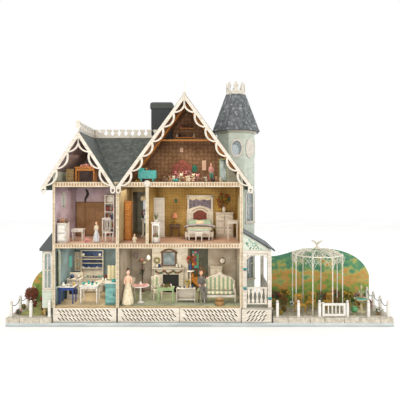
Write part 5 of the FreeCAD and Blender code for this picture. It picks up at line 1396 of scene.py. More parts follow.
cloth("bed_drape", lambda u, v: (-55 + 101 * u, 36.4 + pleats(u, 11, 1.0), 506 - 104 * v),
      drape_mauve, 132)
cloth("kitchen_towel", lambda u, v: (-577.6 + pleats(u, 2, 0.5), -54 + 34 * u, 250 - 52 * v),
      turquoise_cloth)
cloth("kitchen_gingham", lambda u, v: (-384 + 42 * u, -170 + pleats(u, 3, 1.6), 229 - 58 * v),
      yellow_cloth, 60)
cloth("landing_rug", lambda u, v: (-296 + 62 * u, -222 + 46 * v, 328.8 + 0.25 * math.sin(9 * u + 5 * v)),
      rug_rose, thick=0.8)
cloth("bed_cover", lambda u, v: (
    -5 + 66 * math.sin((2 * u - 1) * 1.25) / 0.94898 * (1 + 0.05 * v),
    -112.5 + 92 * v,
    364 + 27 * math.cos((2 * u - 1) * 1.25) ** 0.45 + 0.7 * math.sin(30 * u + 3 * v)),
    cover_mauve, 64, 30, 0.5)
cloth("tea_cloth", lambda u, v: (
    -246 + (2 * u - 1) * 30, -176 + (2 * v - 1) * 30, 148.8 + 0.12 * math.sin(14 * u + 9 * v)),
    pink_cloth)
cloth("blanket_over_settee", lambda u, v: (
    24 + 26 * u, -143.0 + pleats(u, 1.5, 0.5) - 1.2, 176 - 50 * v), pink_cloth)

# %% [markdown]
# ## Padded pieces
# Mattress, squab and pillows are stuffed: their faces bulge between the seams. Each starts as a
# box with many faces, thinned towards its edges so that the middle stays full.

# %% Stuffed pieces
def stuffed(name, x0, x1, y0, y1, z0, z1, finish, replaces=(), lean=0,
            buttons=0):
    """A stuffed pad inside these limits, with pinched corners and a soft middle."""
    part = bmesh.new()
    bmesh.ops.create_cube(part, size=2)
    bmesh.ops.subdivide_edges(part, edges=part.edges[:], cuts=9, use_grid_fill=True)
    half = Vector(((x1 - x0) / 2, (y1 - y0) / 2, (z1 - z0) / 2))
    middle = Vector(((x0 + x1) / 2, (y0 + y1) / 2, (z0 + z1) / 2))
    for vert in part.verts:
        u, v, w = vert.co
        round_off = 1 - 0.10 * (u * u * v * v)
        swell = (1 - u ** 4) * (1 - v ** 4)
        dimple = buttons * 0.5 * (math.cos(math.pi * 3 * u) * math.cos(math.pi * 2 * v)) ** 4
        w_out = w * (1 - 0.45 * (1 - swell)) if abs(w) > 0.99 else w * (0.55 + 0.45 * swell)
        vert.co = (u * half.x * round_off, v * half.y * round_off,
                   w_out * half.z - (dimple * swell if w > 0.99 else 0))
    part.transform(Matrix.Translation(middle) @ Matrix.Rotation(math.radians(lean), 4, "X"))
    bmesh.ops.recalc_face_normals(part, faces=part.faces)
    for face in part.faces:
        face.smooth = True
    made = settle(made_from(name, part, [finish]), HOUSE, replaces)
    return made


stuffed("mattress_pad", -64, 54, -110, 33, 362.4, 388, cream_cloth, replaces=("mattress",))
stuffed("settee_squab", 22, 140, -187, -148, 111.4, 121, striped_silk,
        replaces=("settee_cushion",), buttons=1.4)
stuffed("pillow_left", -58, -8, -22, 22, 386, 402, mint_cloth, lean=24)
stuffed("pillow_right", -2, 48, -22, 22, 386, 402, mint_cloth, lean=24)
stuffed("pillow_small", -22, 14, -44, -18, 390, 402, cream_cloth, lean=30)
stuffed("bench_pad", -50, 40, -156, -128, 371.8, 377, mint_cloth)
stuffed("chair_pad_nursery", -394, -374, -175, -155, 366, 370, cream_cloth)
stuffed("sofa_pad", -122, -46, -54, -24, 600, 607, red_velvet)

# %% [markdown]
# The settee's back is upholstered in the same striped silk, with a double hump. The bed has a
# tall cream surround on the wall with a drape inside it and a red padded arch.

# %% Upholstery and the bed's surround
settee_back = Piece("settee_upholstery")
outline = [(24, 124), (138, 124)]
outline += [(138 - 114 * n / 24, 166 + 9 * math.sin(math.pi * n / 24) + 8 * math.sin(
    3 * math.pi * n / 24) ** 2) for n in range(25)]
settee_back.prism(outline, "y", -149.5, -146.5, striped_silk)
for n in range(24):
    a = outline[2 + n]
    b = outline[3 + n]
    settee_back.tube([(a[0], -147.6, a[1] + 1), (b[0], -147.6, b[1] + 1)], 2.0, cream_paint)
for x in (22.5, 139.5):
    settee_back.tube([(x, -148, 112), (x, -148, 140), (x, -156, 152), (x, -170, 148),
                      (x, -184, 138), (x, -187, 128), (x, -184, 120)], 2.0, cream_paint)
settee_back.done("fabric")

surround_frame = Piece("bed_surround")
for x0, x1, z0, z1 in ((-64, -55, 396, 516), (46, 55, 396, 516), (-66, 57, 508, 518)):
    surround_frame.box(x0, x1, 33.5, 39.8, z0, z1, cream_paint, 1.0)
swag = [(-55, 509), (46, 509)] + [(46 - 101 * n / 36, 500 - 6 * abs(math.sin(
    math.pi * 3 * n / 36))) for n in range(37)]
surround_frame.prism(swag, "y", 32.6, 34.2, cream_cloth)
arch = [(-42, 402), (32, 402)]
arch += [(32 - 74 * n / 28, 436 + 20 * math.sin(math.pi * n / 28)) for n in range(29)]
surround_frame.prism(arch, "y", 28.5, 30.5, cream_paint)
arch = [(-36, 404), (26, 404)]
arch += [(26 - 62 * n / 28, 434 + 15 * math.sin(math.pi * n / 28)) for n in range(29)]
surround_frame.prism(arch, "y", 27.2, 28.8, red_velvet)
surround_frame.done("cream_paint")

walls = Piece("wall_ornaments")
walls.box(-577, -446, 38.2, 39.7, 331, 486, panel_brown, 0.5)
for x in (-577, -535, -490, -448):
    walls.box(x, x + 2.4, 37.2, 38.6, 331, 486, walnut, 0.3)
walls.box(-577, -446, 37.0, 38.6, 483, 487, walnut, 0.5)
for n in range(9):
    t = n / 8
    walls.ball(-528 + 6 * math.sin(5 * t), 37.5, 540 - 50 * t, 7 - 5 * abs(t - 0.4), 2,
               5, dark_paint, 9)
for x, z, w, h, tint in ((-116, 492, 12, 16, dark_paint), (128, 500, 14, 20, walnut),
                         (-90, 726, 20, 26, walnut), (-30, 640, 26, 34, mahogany),
                         (14, 655, 24, 50, mahogany), (-300, 240, 16, 22, walnut)):
    walls.box(x - w / 2, x + w / 2, 38.0, 39.7, z - h / 2, z + h / 2, tint, 0.6)
    walls.box(x - w / 2 + 2.2, x + w / 2 - 2.2, 37.2, 38.4, z - h / 2 + 2.2, z + h / 2 - 2.2,
              rng.choice([cover_mauve, green_cloth, pale_skin_paint]), 0.4)
walls.box(80, 114, -100, -98, 578, 676, green_paint, 0.8)
walls.box(84, 110, -101, -99.6, 583, 671, silvered, 0.4)
walls.box(-172, -101, 10.5, 11.8, 79, 158, iron_black, 0.3)
walls.done("honey_wood")

# %% [markdown]
# ## Toys and dolls
# A jointed bear is a stuffed body with a round head, ears, snout, arms and legs. The dolls are
# painted composition heads on cloth bodies, 1:12 like the house: grown-ups 150 to 155 mm.

# %% Bears
def bear(piece, x, y, z, size, fur, turn=0):
    """A seated bear, size mm high."""
    piece.at(x, y, z, turn, 0, size / 24)
    piece.ball(0, 0, 7.5, 5.6, 4.8, 7.2, fur)
    piece.ball(0, -0.8, 17.6, 5.0, 4.6, 4.6, fur)
    piece.ball(0, -5.0, 16.4, 2.2, 2.0, 1.7, cream_cloth, 8)
    piece.ball(0, -6.8, 17.0, 0.8, 0.6, 0.6, dark_paint, 6)
    for side in (-1, 1):
        piece.ball(side * 4.2, 0, 21.6, 2.1, 1.2, 2.1, fur, 8)
        piece.ball(side * 1.9, -4.9, 18.8, 0.6, 0.5, 0.6, dark_paint, 6)
        piece.tube([(side * 4.6, 0, 12.6), (side * 7.2, -3.4, 9.8), (side * 7.0, -6.2, 8.6)],
                   2.2, fur, 8, 1.8)
        piece.tube([(side * 3.0, -1.5, 2.6), (side * 5.0, -7.0, 2.4), (side * 6.0, -10.5, 3.4)],
                   2.6, fur, 8, 2.4)
    piece.at()


toys = Piece("attic_toys")
rng = random.Random(5)
furs = [brown_fur, tan_fur, brown_fur, tan_fur, pink_enamel, red_velvet, cream_cloth, dark_paint]
for n in range(17):
    bear(toys, -150 + n * 14.5 + rng.uniform(-3, 3), rng.uniform(-205, -150), 575,
         rng.uniform(17, 27), rng.choice(furs), rng.uniform(-35, 35))
for n in range(14):
    bear(toys, -130 + n * 17 + rng.uniform(-4, 4), rng.uniform(-110, -70), 575,
         rng.uniform(24, 40), rng.choice(furs), rng.uniform(-40, 40))
for n, x in enumerate((-112, -96, -80, -64, -50)):
    bear(toys, x, -38, 606, rng.uniform(18, 28), rng.choice(furs), rng.uniform(-30, 30))
for n in range(7):
    bear(toys, -110 + n * 13, 31, 783.5, rng.uniform(12, 18), rng.choice(furs), rng.uniform(-30, 30))
for n in range(5):
    bear(toys, -92 + n * 12, 31, 825.5, rng.uniform(12, 17), rng.choice(furs), rng.uniform(-30, 30))
for x, y in ((-240, -172), (-222, -182), (-205, -176)):
    bear(toys, x, y, 612, 22, rng.choice([tan_fur, pink_enamel, dark_paint]), rng.uniform(-30, 30))
china(toys, [(9, 0), (13, 4), (15, 11), (13.8, 11), (11.5, 4), (2, 1.5)], -98, -196, 575,
      turquoise_glaze)
for n in range(6):
    toys.at(-262 + n * 9, -188 + (n % 2) * 12, 575)
    toys.ball(0, 0, 5, 5, 5, 5, rng.choice([red_enamel, yellow_enamel, blue_glaze]), 12)
toys.at()
for n in range(10):
    a, b = -505 + n * 5.6, -136 + rng.uniform(-14, 14)
    bear(toys, a, b, 638.2, rng.uniform(9, 16), rng.choice([pink_enamel, pink_cloth, tan_fur]),
         rng.uniform(-60, 60))
toys.done("honey_wood")

small_toys = Piece("nursery_toys")
for n, x in enumerate((-574, -566, -558, -550, -543)):
    bear(small_toys, x, -206 + (n % 2) * 14, 408.2, 16 + 3 * (n % 3),
         (brown_fur, pink_enamel, tan_fur, cream_cloth)[n % 4], -20 + 12 * n)
small_toys.at(-462, -196, 328.6)
small_toys.tube([(-9, 0, 14), (-7, 0, 6), (0, 0, 4), (8, 0, 6), (10, 0, 15)], 1.0, pink_enamel)
small_toys.tube([(-9, 0, 14), (-15, 0, 30)], 0.8, pink_enamel)
small_toys.tube([(10, 0, 15), (4, 0, 22), (-3, 0, 19)], 0.8, pink_enamel)
small_toys.ball(1, 0, 11, 9, 5.5, 5.5, pink_cloth)
for x in (-7, 8):
    for y in (-6, 6):
        small_toys.at(-462 + x, -196 + y, 332.2, 0, 90)
        small_toys.lathe([(3.4, -0.6), (3.6, 0), (3.4, 0.6)], pink_enamel, 18)
small_toys.at()
small_toys.done("white_paint")


# %% [markdown]
# ## Dolls
# The dolls share one way of building, with their own heights, clothes and hair.

# %% Dolls
def doll(piece, x, y, z, tall, turn, dress, sleeves, hair, skin, skirt=True, sit=False,
         bun=False, curls=False):
    """A dressed doll; tall is its standing height in mm."""
    piece.at(x, y, z, turn, 0, tall / 150)
    hips = 50 if sit else 76
    if skirt and not sit:
        piece.lathe([(24, 1), (23, 10), (19, 40), (12, 70), (9, 84), (8.6, 90)], dress, 30, 10, 0.05)
    elif skirt:
        piece.lathe([(15, -4 + hips - 12), (16, hips - 4), (12, hips + 6), (9, hips + 16)], dress, 26)
        for side in (-1, 1):
            piece.tube([(side * 6, -2, hips), (side * 8, -26, hips - 2), (side * 8, -30, hips - 26)],
                       6.5, dress, 10, 5)
            piece.tube([(side * 8, -30, hips - 24), (side * 8, -31, hips - 44)], 2.8, skin, 8)
            piece.ball(side * 8, -34, hips - 46, 3.2, 6.2, 2.6, dark_paint, 10)
    else:
        knee = ((0, -26, hips - 2), (0, -30, hips - 26), (0, -31, hips - 46)) if sit else (
            (0, -3, 40), (0, 1, 20), (0, 1, 6))
        for side in (-1, 1):
            piece.tube([(side * 5, 0, hips + 2)] + [(side * 7.5 + p[0], p[1], p[2]) for p in knee],
                       6.6, dress, 10, 4.6)
            foot = knee[-1]
            piece.ball(side * 7.5, foot[1] - 4, foot[2] - 3, 3.4, 7.4, 3.0, dark_paint, 10)
    low = hips + (10 if sit else 6)
    chest = low + 34
    piece.lathe([(8.0, low - 6), (8.4, low + 4), (9.6, low + 18), (10.6, chest - 6), (8, chest),
                 (3, chest + 2)], sleeves, 22, 2, 0.18)
    for side in (-1, 1):
        piece.tube([(side * 9.5, 0, chest - 4), (side * 15, -2, chest - 18),
                    (side * 14, -9, chest - 30)], 4.2, sleeves, 9, 3.2)
        piece.tube([(side * 14, -9, chest - 30), (side * 9, -15, chest - 34)], 2.2, skin, 8, 1.8)
        piece.ball(side * 8.4, -16, chest - 34.5, 2.4, 2.6, 2.0, skin, 8)
    piece.tube([(0, 0, chest - 1), (0, -0.5, chest + 8)], 3.0, skin, 10)
    head = chest + 15
    piece.ball(0, -0.8, head, 7.4, 7.8, 9.4, skin, 20)
    piece.ball(0, -8.3, head - 1.4, 1.1, 1.3, 1.6, skin, 8)
    for side in (-1, 1):
        piece.ball(side * 2.9, -7.2, head + 1.4, 1.15, 0.8, 0.85, white_glaze, 8)
        piece.ball(side * 2.9, -7.8, head + 1.4, 0.55, 0.4, 0.6, dark_paint, 6)
        piece.tube([(side * 1.4, -7.6, head + 3.8), (side * 4.4, -6.6, head + 3.6)], 0.35, hair, 5)
        piece.ball(side * 7.3, 0, head, 1.0, 1.6, 2.0, skin, 8)
    piece.ball(0, -7.5, head - 4.8, 1.7, 0.7, 0.6, red_enamel, 8)
    piece.ball(0, 1.9, head + 2.8, 8.2, 8.0, 9.0, hair, 18)
    if bun:
        piece.ball(0, 3, head + 12, 4.4, 4.4, 3.8, hair, 12)
    if curls:
        lock = random.Random(3)
        for n in range(34):
            a = math.radians(-40 + 260 * n / 33)
            low_z = head - 8 + 17 * lock.random()
            piece.ball(8.4 * math.cos(a), 2 + 7.4 * math.sin(a), low_z, 2.6, 2.6, 2.9, hair, 7)
    piece.at()


lady = Piece("doll_lady")
doll(lady, -292, -208, 77.8, 150, 18, cream_cloth, pale_skin_paint, dark_hair, pale_skin_paint,
     bun=True)
lady.done("fabric")
gentleman = Piece("doll_gentleman")
doll(gentleman, 4, -178, 92.0, 148, 24, grey_cloth, grey_cloth, red_velvet, skin_paint,
     skirt=False, sit=True)
gentleman.at(4, -172, 77.7)
for dx in (-9, 9):
    for dy in (-9, 9):
        gentleman.tube([(dx, dy, 0), (dx * 0.8, dy * 0.8, 48)], 1.8, mahogany)
gentleman.lathe([(15, 48), (16, 50), (16, 54), (13, 56), (1, 56.5)], green_carpet, 26)
gentleman.at()
gentleman.done("fabric")
girl = Piece("doll_girl")
doll(girl, -425, -188, 328.8, 88, -20, blue_cloth, cream_cloth, blond_hair, pale_skin_paint,
     curls=True)
girl.done("fabric")
baby = Piece("doll_baby")
doll(baby, -266, -204, 308.5, 70, 10, cream_cloth, cream_cloth, blond_hair, pale_skin_paint, sit=True)
baby.done("fabric")
clown = Piece("doll_clown")
doll(clown, 46, -150, 577.0, 98, 6, green_cloth, pink_cloth, rust_leaf, pale_skin_paint,
     skirt=False, sit=True, curls=True)
clown.box(32, 60, -158, -134, 575, 603, red_enamel, 1.0)
clown.done("fabric")

# %% [markdown]
# ## Lamps
# A shaded lamp by the bed, a shade on the landing, a pendant in the parlour.

# %% Lamps
lamps = Piece("lamps")
lamps.at(-119, 20, 385.2)
lamps.lathe([(6, 0), (6.4, 1.2), (2.4, 3), (4.4, 8), (4.8, 14), (1.8, 20), (1.0, 34)], brass, 22)
lamps.lathe([(12, 30), (12.5, 31), (7.6, 52), (7.0, 52), (11, 31.5), (1.2, 33)], lampshade_cloth,
            30, 12, 0.03)
lamps.at(-262, 4, 494)
lamps.lathe([(14, 0), (14.5, 1), (9, 22), (8.4, 22), (13.4, 1.4), (1.0, 4)], cream_cloth, 26)
lamps.tube([(0, 0, 14), (0, 0, 60)], 0.6, brass)
lamps.at(-230, -60, 232)
lamps.lathe([(2, 0), (7, 3), (9.5, 12), (7, 20), (2.2, 23), (1.0, 26)], white_glaze, 24)
lamps.tube([(0, 0, 24), (0, 0, 77)], 0.7, brass)
lamps.at()
lamps.done("cream_paint")

# %% [markdown]
# ## Flowers and leaves
# Silk flowers are leaves and blossoms wired into a bunch. Geometry Nodes wires them: points
# are scattered in a rounded mass, leaves stand on most of them, five-petalled blossoms on the
# rest, all turned and sized at random from one seed. One tree serves bouquets, shrubs and the
# blossom tree.

# %% The bouquet tree
bunch, given, out = group_tree("wired_flowers", {
    "Width": (FLOAT, 0.012), "Height": (FLOAT, 0.012), "Leaves": (WHOLE, 60),
    "Leaf size": (FLOAT, 0.003), "Blossoms": (WHOLE, 20), "Blossom size": (FLOAT, 0.003),
    "Inner": (FLOAT, 0.45), "Seed": (WHOLE, 1), "Leaf finish": ("NodeSocketMaterial", None),
    "Blossom finish": ("NodeSocketMaterial", None)})
g = given.outputs


def scattered(tree, count, seed, inner, width, height):
    """Points in random directions, between the inner share and the full size of a mass."""
    way = node(tree, "FunctionNodeRandomValue", {
        "Min": (-1.0, -1.0, -0.8), "Max": (1.0, 1.0, 1.0), "Seed": seed},
        data_type="FLOAT_VECTOR").outputs[0]
    unit = node(tree, "ShaderNodeVectorMath", {0: way}, operation="NORMALIZE").outputs[0]
    far = node(tree, "FunctionNodeRandomValue", {
        "Min": inner, "Max": 1.0, "Seed": maths(tree, "ADD", seed, 3.0)},
        data_type="FLOAT").outputs[1]
    grown = node(tree, "ShaderNodeVectorMath", {0: unit, "Scale": far}, operation="SCALE")
    size = node(tree, "ShaderNodeCombineXYZ", {"X": width, "Y": width, "Z": height}).outputs[0]
    spot = node(tree, "ShaderNodeVectorMath", {0: grown.outputs[0], 1: size}, operation="MULTIPLY")
    return node(tree, "GeometryNodePoints", {"Count": count, "Position": spot.outputs[0]}).outputs[0]


def planted(tree, points, shape, seed, size, finish):
    """Puts a shape on the points at random turns and sizes, as real mesh."""
    turn = node(tree, "FunctionNodeRandomValue", {
        "Min": (0.0, 0.0, 0.0), "Max": (6.28, 6.28, 6.28), "Seed": seed},
        data_type="FLOAT_VECTOR").outputs[0]
    scale = node(tree, "FunctionNodeRandomValue", {
        "Min": maths(tree, "MULTIPLY", size, 0.7), "Max": maths(tree, "MULTIPLY", size, 1.25),
        "Seed": maths(tree, "ADD", seed, 5.0)}, data_type="FLOAT").outputs[1]
    placed = node(tree, "GeometryNodeInstanceOnPoints", {
        "Points": points, "Instance": shape, "Rotation": turn, "Scale": scale}).outputs[0]
    solid = node(tree, "GeometryNodeRealizeInstances", {"Geometry": placed}).outputs[0]
    return node(tree, "GeometryNodeSetMaterial", {"Geometry": solid, "Material": finish}).outputs[0]


leaf = node(bunch, "GeometryNodeTransform", {
    "Geometry": node(bunch, "GeometryNodeMeshIcoSphere", {
        "Radius": 1.0, "Subdivisions": 1}).outputs[0], "Scale": (1.0, 0.45, 0.14)}).outputs[0]
petal = node(bunch, "GeometryNodeTransform", {
    "Geometry": node(bunch, "GeometryNodeMeshIcoSphere", {
        "Radius": 0.5, "Subdivisions": 1}).outputs[0], "Scale": (1.0, 0.8, 0.35)}).outputs[0]
ring = node(bunch, "GeometryNodeMeshCircle", {"Vertices": 5, "Radius": 0.55}).outputs[0]
head = node(bunch, "GeometryNodeRealizeInstances", {
    "Geometry": node(bunch, "GeometryNodeInstanceOnPoints", {
        "Points": ring, "Instance": petal}).outputs[0]}).outputs[0]
leaves = planted(bunch, scattered(bunch, g["Leaves"], g["Seed"], g["Inner"], g["Width"],
                                  g["Height"]), leaf, g["Seed"], g["Leaf size"], g["Leaf finish"])
flowers = planted(bunch, scattered(bunch, g["Blossoms"], maths(bunch, "ADD", g["Seed"], 11.0), 0.8,
                                   g["Width"], g["Height"]), head, g["Seed"], g["Blossom size"],
                  g["Blossom finish"])
joined = node(bunch, "GeometryNodeJoinGeometry")
bunch.links.new(leaves, joined.inputs[0])
bunch.links.new(flowers, joined.inputs[0])
bunch.links.new(joined.outputs[0], out.inputs[0])


def flowering(name, x, y, z, width, height, leaf_finish, blossom_finish, leaves=60, blossoms=20,
              leaf_size=3.0, blossom_size=3.0, seed=1, replaces=()):
    """Grows a bunch around a middle in mm and hands it to the frame."""
    made = grow(name, bunch, {
        "Width": width * MM, "Height": height * MM, "Leaves": leaves, "Leaf size": leaf_size * MM,
        "Blossoms": blossoms, "Blossom size": blossom_size * MM, "Inner": 0.4, "Seed": seed,
        "Leaf finish": leaf_finish, "Blossom finish": blossom_finish},
        Matrix.Translation((x * MM, y * MM, z * MM)))
    return settle(made, HOUSE, replaces)


# %% [markdown]
# Bouquets in the rooms: a big mixed bunch on the chest of drawers, red and yellow ones by the
# fireplace and the table, a spiky plant on its stand, small pots in the hall.

# %% Indoor flowers
flowering("bouquet_bedroom", 104, 20, 492, 30, 40, leaf_green, red_enamel, 150, 46, 4, 4.2, 2)
flowering("bouquet_bedroom_gold", 92, 14, 480, 30, 34, rust_leaf, yellow_enamel, 60, 46, 4, 3.8, 3)
flowering("bouquet_parlour_red", -46, -40, 232, 20, 17, leaf_green, red_enamel, 70, 46, 3.4, 4.2, 4)
flowering("bouquet_parlour_yellow", -52, -162, 156, 14, 14, leaf_green, yellow_enamel, 50, 26, 3, 3.4, 5)
flowering("flowers_green_table", -141, -182, 149, 26, 7, leaf_green, rust_leaf, 70, 36, 3, 3, 6)
flowering("flowers_landing", -262, 4, 438, 11, 16, rust_leaf, red_velvet, 60, 14, 3.4, 2.6, 7)
flowering("plant_floor", -176, -220, 356, 15, 12, leaf_green, red_enamel, 60, 10, 3.6, 2.6, 8)
flowering("plant_kitchen", -405, -96, 168, 9, 9, rust_leaf, red_enamel, 30, 14, 2.8, 2.8, 9)
flowering("parlour_green_plant", -268, 22, 170, 14, 22, teal_leaf, pink_enamel, 70, 14, 4, 2.8, 10)
vases = Piece("vases")
tall_vase = [(5, 0), (7, 4), (8.5, 14), (5, 24), (4, 28), (6, 31), (5.2, 31), (1, 26)]
china(vases, tall_vase, 104, 20, 440.2, white_glaze, 1.0)
china(vases, tall_vase, -46, -40, 186, blue_glaze, 1.0)
china(vases, tall_vase, -52, -162, 135.4, yellow_enamel, 0.5)
china(vases, tall_vase, -262, 4, 412.3, dark_paint, 0.6)
vases.at(-46, -40, 77.6)
vases.lathe([(13, 0), (13, 2), (3, 6), (2.6, 92), (6, 100), (17, 104), (17, 107), (1, 108)],
            white_paint, 26)
vases.at(-176, -220, 328.7)
vases.lathe([(10, 0), (12.6, 3), (13.6, 22), (14.4, 24), (12.8, 24), (2, 22)], cream_paint, 28, 8, 0.03)
vases.at(-178, -212, 412.2)
vases.lathe([(6, 0), (8, 8), (8.6, 9), (7.6, 9), (1, 8)], white_glaze, 24)
rng = random.Random(17)
for n in range(26):
    a = rng.uniform(0, 6.28)
    reach, tall = rng.uniform(6, 17), rng.uniform(14, 32)
    vases.tube([(0, 0, 8), (reach * 0.4 * math.cos(a), reach * 0.4 * math.sin(a), 8 + tall * 0.7),
                (reach * math.cos(a), reach * math.sin(a), 8 + tall)], 1.0, leaf_green, 5, 0.15)
vases.at()
vases.done("cream_paint")

# %% [markdown]
# ## Garden
# Flocked lawn and stone flags cover the garden boards. Shrubs, pots and the blossom tree stand
# where the frame has their simple solids, which they replace.

# %% Lawn, flags and pots
skin("lawn_left", "garden_ground", (0, 0, 1), (-768, -216, 31), (-596, 20, 33), lawn_flock,
     "ground", 1.2)
skin("lawn_right", "garden_ground", (0, 0, 1), (304, -80, 31), (768, 20, 33), lawn_flock,
     "ground", 1.2)
flags = Piece("garden_flags")
rng = random.Random(31)
for line in range(4):
    x = 306.0 + (line % 2) * 17
    while x < 730:
        wide = rng.uniform(24, 46)
        flags.box(x, x + wide - 1.6, -215 + line * 33, -215 + line * 33 + 31.4, 31.8,
                  32.9 + rng.uniform(0, 0.6), paving_stone, 0.6)
        x += wide
for row_start, stones in ((-768, 8), (310, 22)):
    for n in range(stones):
        x0 = row_start + n * 20.8
        flags.box(x0, x0 + 19.6, -249.6, -219, 33.9, 34.9 + rng.uniform(0, 0.4), kerb_stone, 0.7)
flags.done("ground")
pots = Piece("garden_pots")
pot_profile = [(0.62, 0), (0.75, 0.1), (0.95, 0.82), (1.08, 0.86), (1.08, 1.0), (0.9, 1.0), (0.1, 0.86)]
pot_places = ((330, -40, 14, 40), (375, -30, 13, 46), (600, -30, 13, 44), (655, -30, 15, 40),
              (700, -40, 13, 34), (728, -200, 11, 18), (-665, -60, 12, 22), (-700, -20, 12, 20))
blossom_of = (red_enamel, yellow_enamel, red_enamel, yellow_enamel, pink_enamel, white_glaze,
              yellow_enamel, red_enamel)
for n, (x, y, r, high) in enumerate(pot_places):
    pots.at(x, y, 32.4)
    pots.lathe([(r * a * 0.8, high * 0.5 * b) for a, b in pot_profile],
               white_glaze if n % 3 == 0 else wicker, 24, 8, 0.02)
    flowering("garden_flowers_%d" % n, x, y, 38 + high * 0.9, r * 1.7, high * 0.5,
              leaf_green if n % 2 else teal_leaf, blossom_of[n], 190, 60, 4.2, 4.2, 40 + n,
              ("garden_plants",))
pots.at(-706, -150, 32)
pots.tube([(0, 0, 0), (1.5, 1, 22), (-1, 0, 48), (1, 0, 78)], 3.4, mahogany, 10, 1.8)
for n in range(7):
    a = n * 0.9
    pots.tube([(0, 0, 40 + n * 5), (9 * math.cos(a), 9 * math.sin(a), 58 + n * 5),
               (18 * math.cos(a), 18 * math.sin(a), 68 + n * 5)], 1.6, mahogany, 7, 0.5)
pots.at()
pots.done("plants", replaces=("garden_plants",))
flowering("blossom_tree", -706, -150, 106, 27, 30, rust_leaf, rust_leaf, 520, 240, 3.6, 3.6, 61,
          ("garden_plants",))
for n, (x, y, w, h, leaf_kind, flower) in enumerate((
        (-744, -190, 12, 12, teal_leaf, pink_enamel), (-640, -190, 10, 8, leaf_green, yellow_enamel),
        (-730, -70, 16, 16, rust_leaf, red_enamel), (-640, -20, 14, 14, teal_leaf, yellow_enamel),
        (350, -150, 12, 12, leaf_green, red_enamel), (330, -190, 10, 9, leaf_green, yellow_enamel),
        (590, -60, 18, 22, leaf_green, red_enamel), (640, -60, 16, 20, teal_leaf, yellow_enamel),
        (728, -90, 14, 22, rust_leaf, red_enamel), (688, -95, 20, 34, rust_leaf, yellow_enamel),
        (315, -110, 14, 26, leaf_green, yellow_enamel), (480, -40, 22, 30, leaf_green, yellow_enamel),
        (530, -50, 20, 36, teal_leaf, red_enamel), (360, -70, 18, 34, leaf_green, red_enamel),
        (440, -20, 14, 20, leaf_green, yellow_enamel), (560, -10, 16, 26, leaf_green, red_enamel),
        (400, -60, 10, 12, teal_leaf, white_glaze),
        (-752, -120, 9, 14, leaf_green, yellow_enamel), (-668, -120, 9, 10, leaf_green, red_enamel))):
    flowering("shrub_%d" % n, x, y, 33 + h * 0.8, w, h, leaf_kind, flower, 120, 36, 3.4, 3.2, 80 + n)

# %% [markdown]
# The fountain and the glazed ball replace their plain solids: a turned bowl on a fluted stem
# with a ring of fruit, and a green ball on a small stand.

# %% Fountain and gazing ball
ornaments = Piece("fountain_and_ball")
ornaments.at(673, -155, 32)
ornaments.lathe([(22, 0), (22, 3), (16, 6), (9, 10), (6, 18), (5, 34), (8, 40), (22, 48), (30, 55),
                 (30.5, 57), (28, 57), (19, 51), (4, 50)], fountain_stone, 40, 12, 0.03)
ornaments.lathe([(4, 50), (3.4, 70), (5, 76), (14, 82), (17, 87), (15.5, 87), (10, 83), (2, 82)],
                fountain_stone, 32, 10, 0.03)
ornaments.lathe([(2.2, 82), (2.0, 96), (4.6, 102), (5.2, 108), (3.0, 113), (1.0, 118)],
                fountain_stone, 20)
ornaments.lathe([(27, 54.6), (27, 55.2), (0.5, 55.3)], turquoise_glaze, 40)
for n in range(12):
    a = 2 * math.pi * n / 12
    ornaments.ball(16 * math.cos(a), 16 * math.sin(a), 86, 2.6, 2.6, 2.6, green_glaze, 8)
ornaments.at(628, -205, 32)
ornaments.lathe([(9, 0), (9, 2), (4, 4), (3, 8), (6, 11), (2, 12)], fountain_stone, 24)
ornaments.ball(0, 0, 24, 14, 14, 14, green_glaze, 28)
ornaments.at()
ornaments.done("stone", replaces=("garden_ornaments",))

# %% [markdown]
# ## Wirework of the gazebo
# The gazebo is bent and soldered wire. Between its posts run scrolls and pointed arches. The ends
# of the roof wires are gathered through a collar over the hub and fan out above it.

# %% Gazebo scrolls
scrolls = Piece("gazebo_scrolls")


def scroll(piece, x, y, z, size, turn, way=1):
    """A flat spiral of wire in the local XZ plane."""
    piece.at(x, y, z, turn)
    points = []
    for n in range(22):
        t = n / 21
        r = size * (1 - 0.85 * t)
        a = way * (1.4 + 7.6 * t)
        points.append((r * math.cos(a), 0, r * math.sin(a)))
    piece.tube(points, 0.8, wire_white, 5)
    piece.at()


gazebo_x, gazebo_y = 502, -97
ring_z = 266
radius = 98 / math.cos(math.pi / 8)
corners_of = [(gazebo_x + radius * math.cos(math.radians(22.5 + 45 * n)),
               gazebo_y + radius * math.sin(math.radians(22.5 + 45 * n))) for n in range(8)]
for n in range(8):
    (ax, ay), (bx, by) = corners_of[n], corners_of[(n + 1) % 8]
    face_turn = math.degrees(math.atan2(by - ay, bx - ax))
    mx, my = (ax + bx) / 2, (ay + by) / 2
    for side in (-1, 1):
        dx, dy = (bx - ax) * 0.30 * side, (by - ay) * 0.30 * side
        scroll(scrolls, mx + dx, my + dy, 251, 10, face_turn, side)
        scroll(scrolls, mx + dx * 0.45, my + dy * 0.45, 240, 7, face_turn, -side)
    scrolls.tube([(ax, ay, 214), (ax + (mx - ax) * 0.5, ay + (my - ay) * 0.5, 244),
                  (mx, my, 262), (bx + (mx - bx) * 0.5, by + (my - by) * 0.5, 244),
                  (bx, by, 214)], 0.9, wire_white, 6)
    scrolls.ball(ax, ay, 269, 3.2, 3.2, 4.4, wire_white, 10)
rng = random.Random(44)
hub = Vector((gazebo_x, gazebo_y, 292))
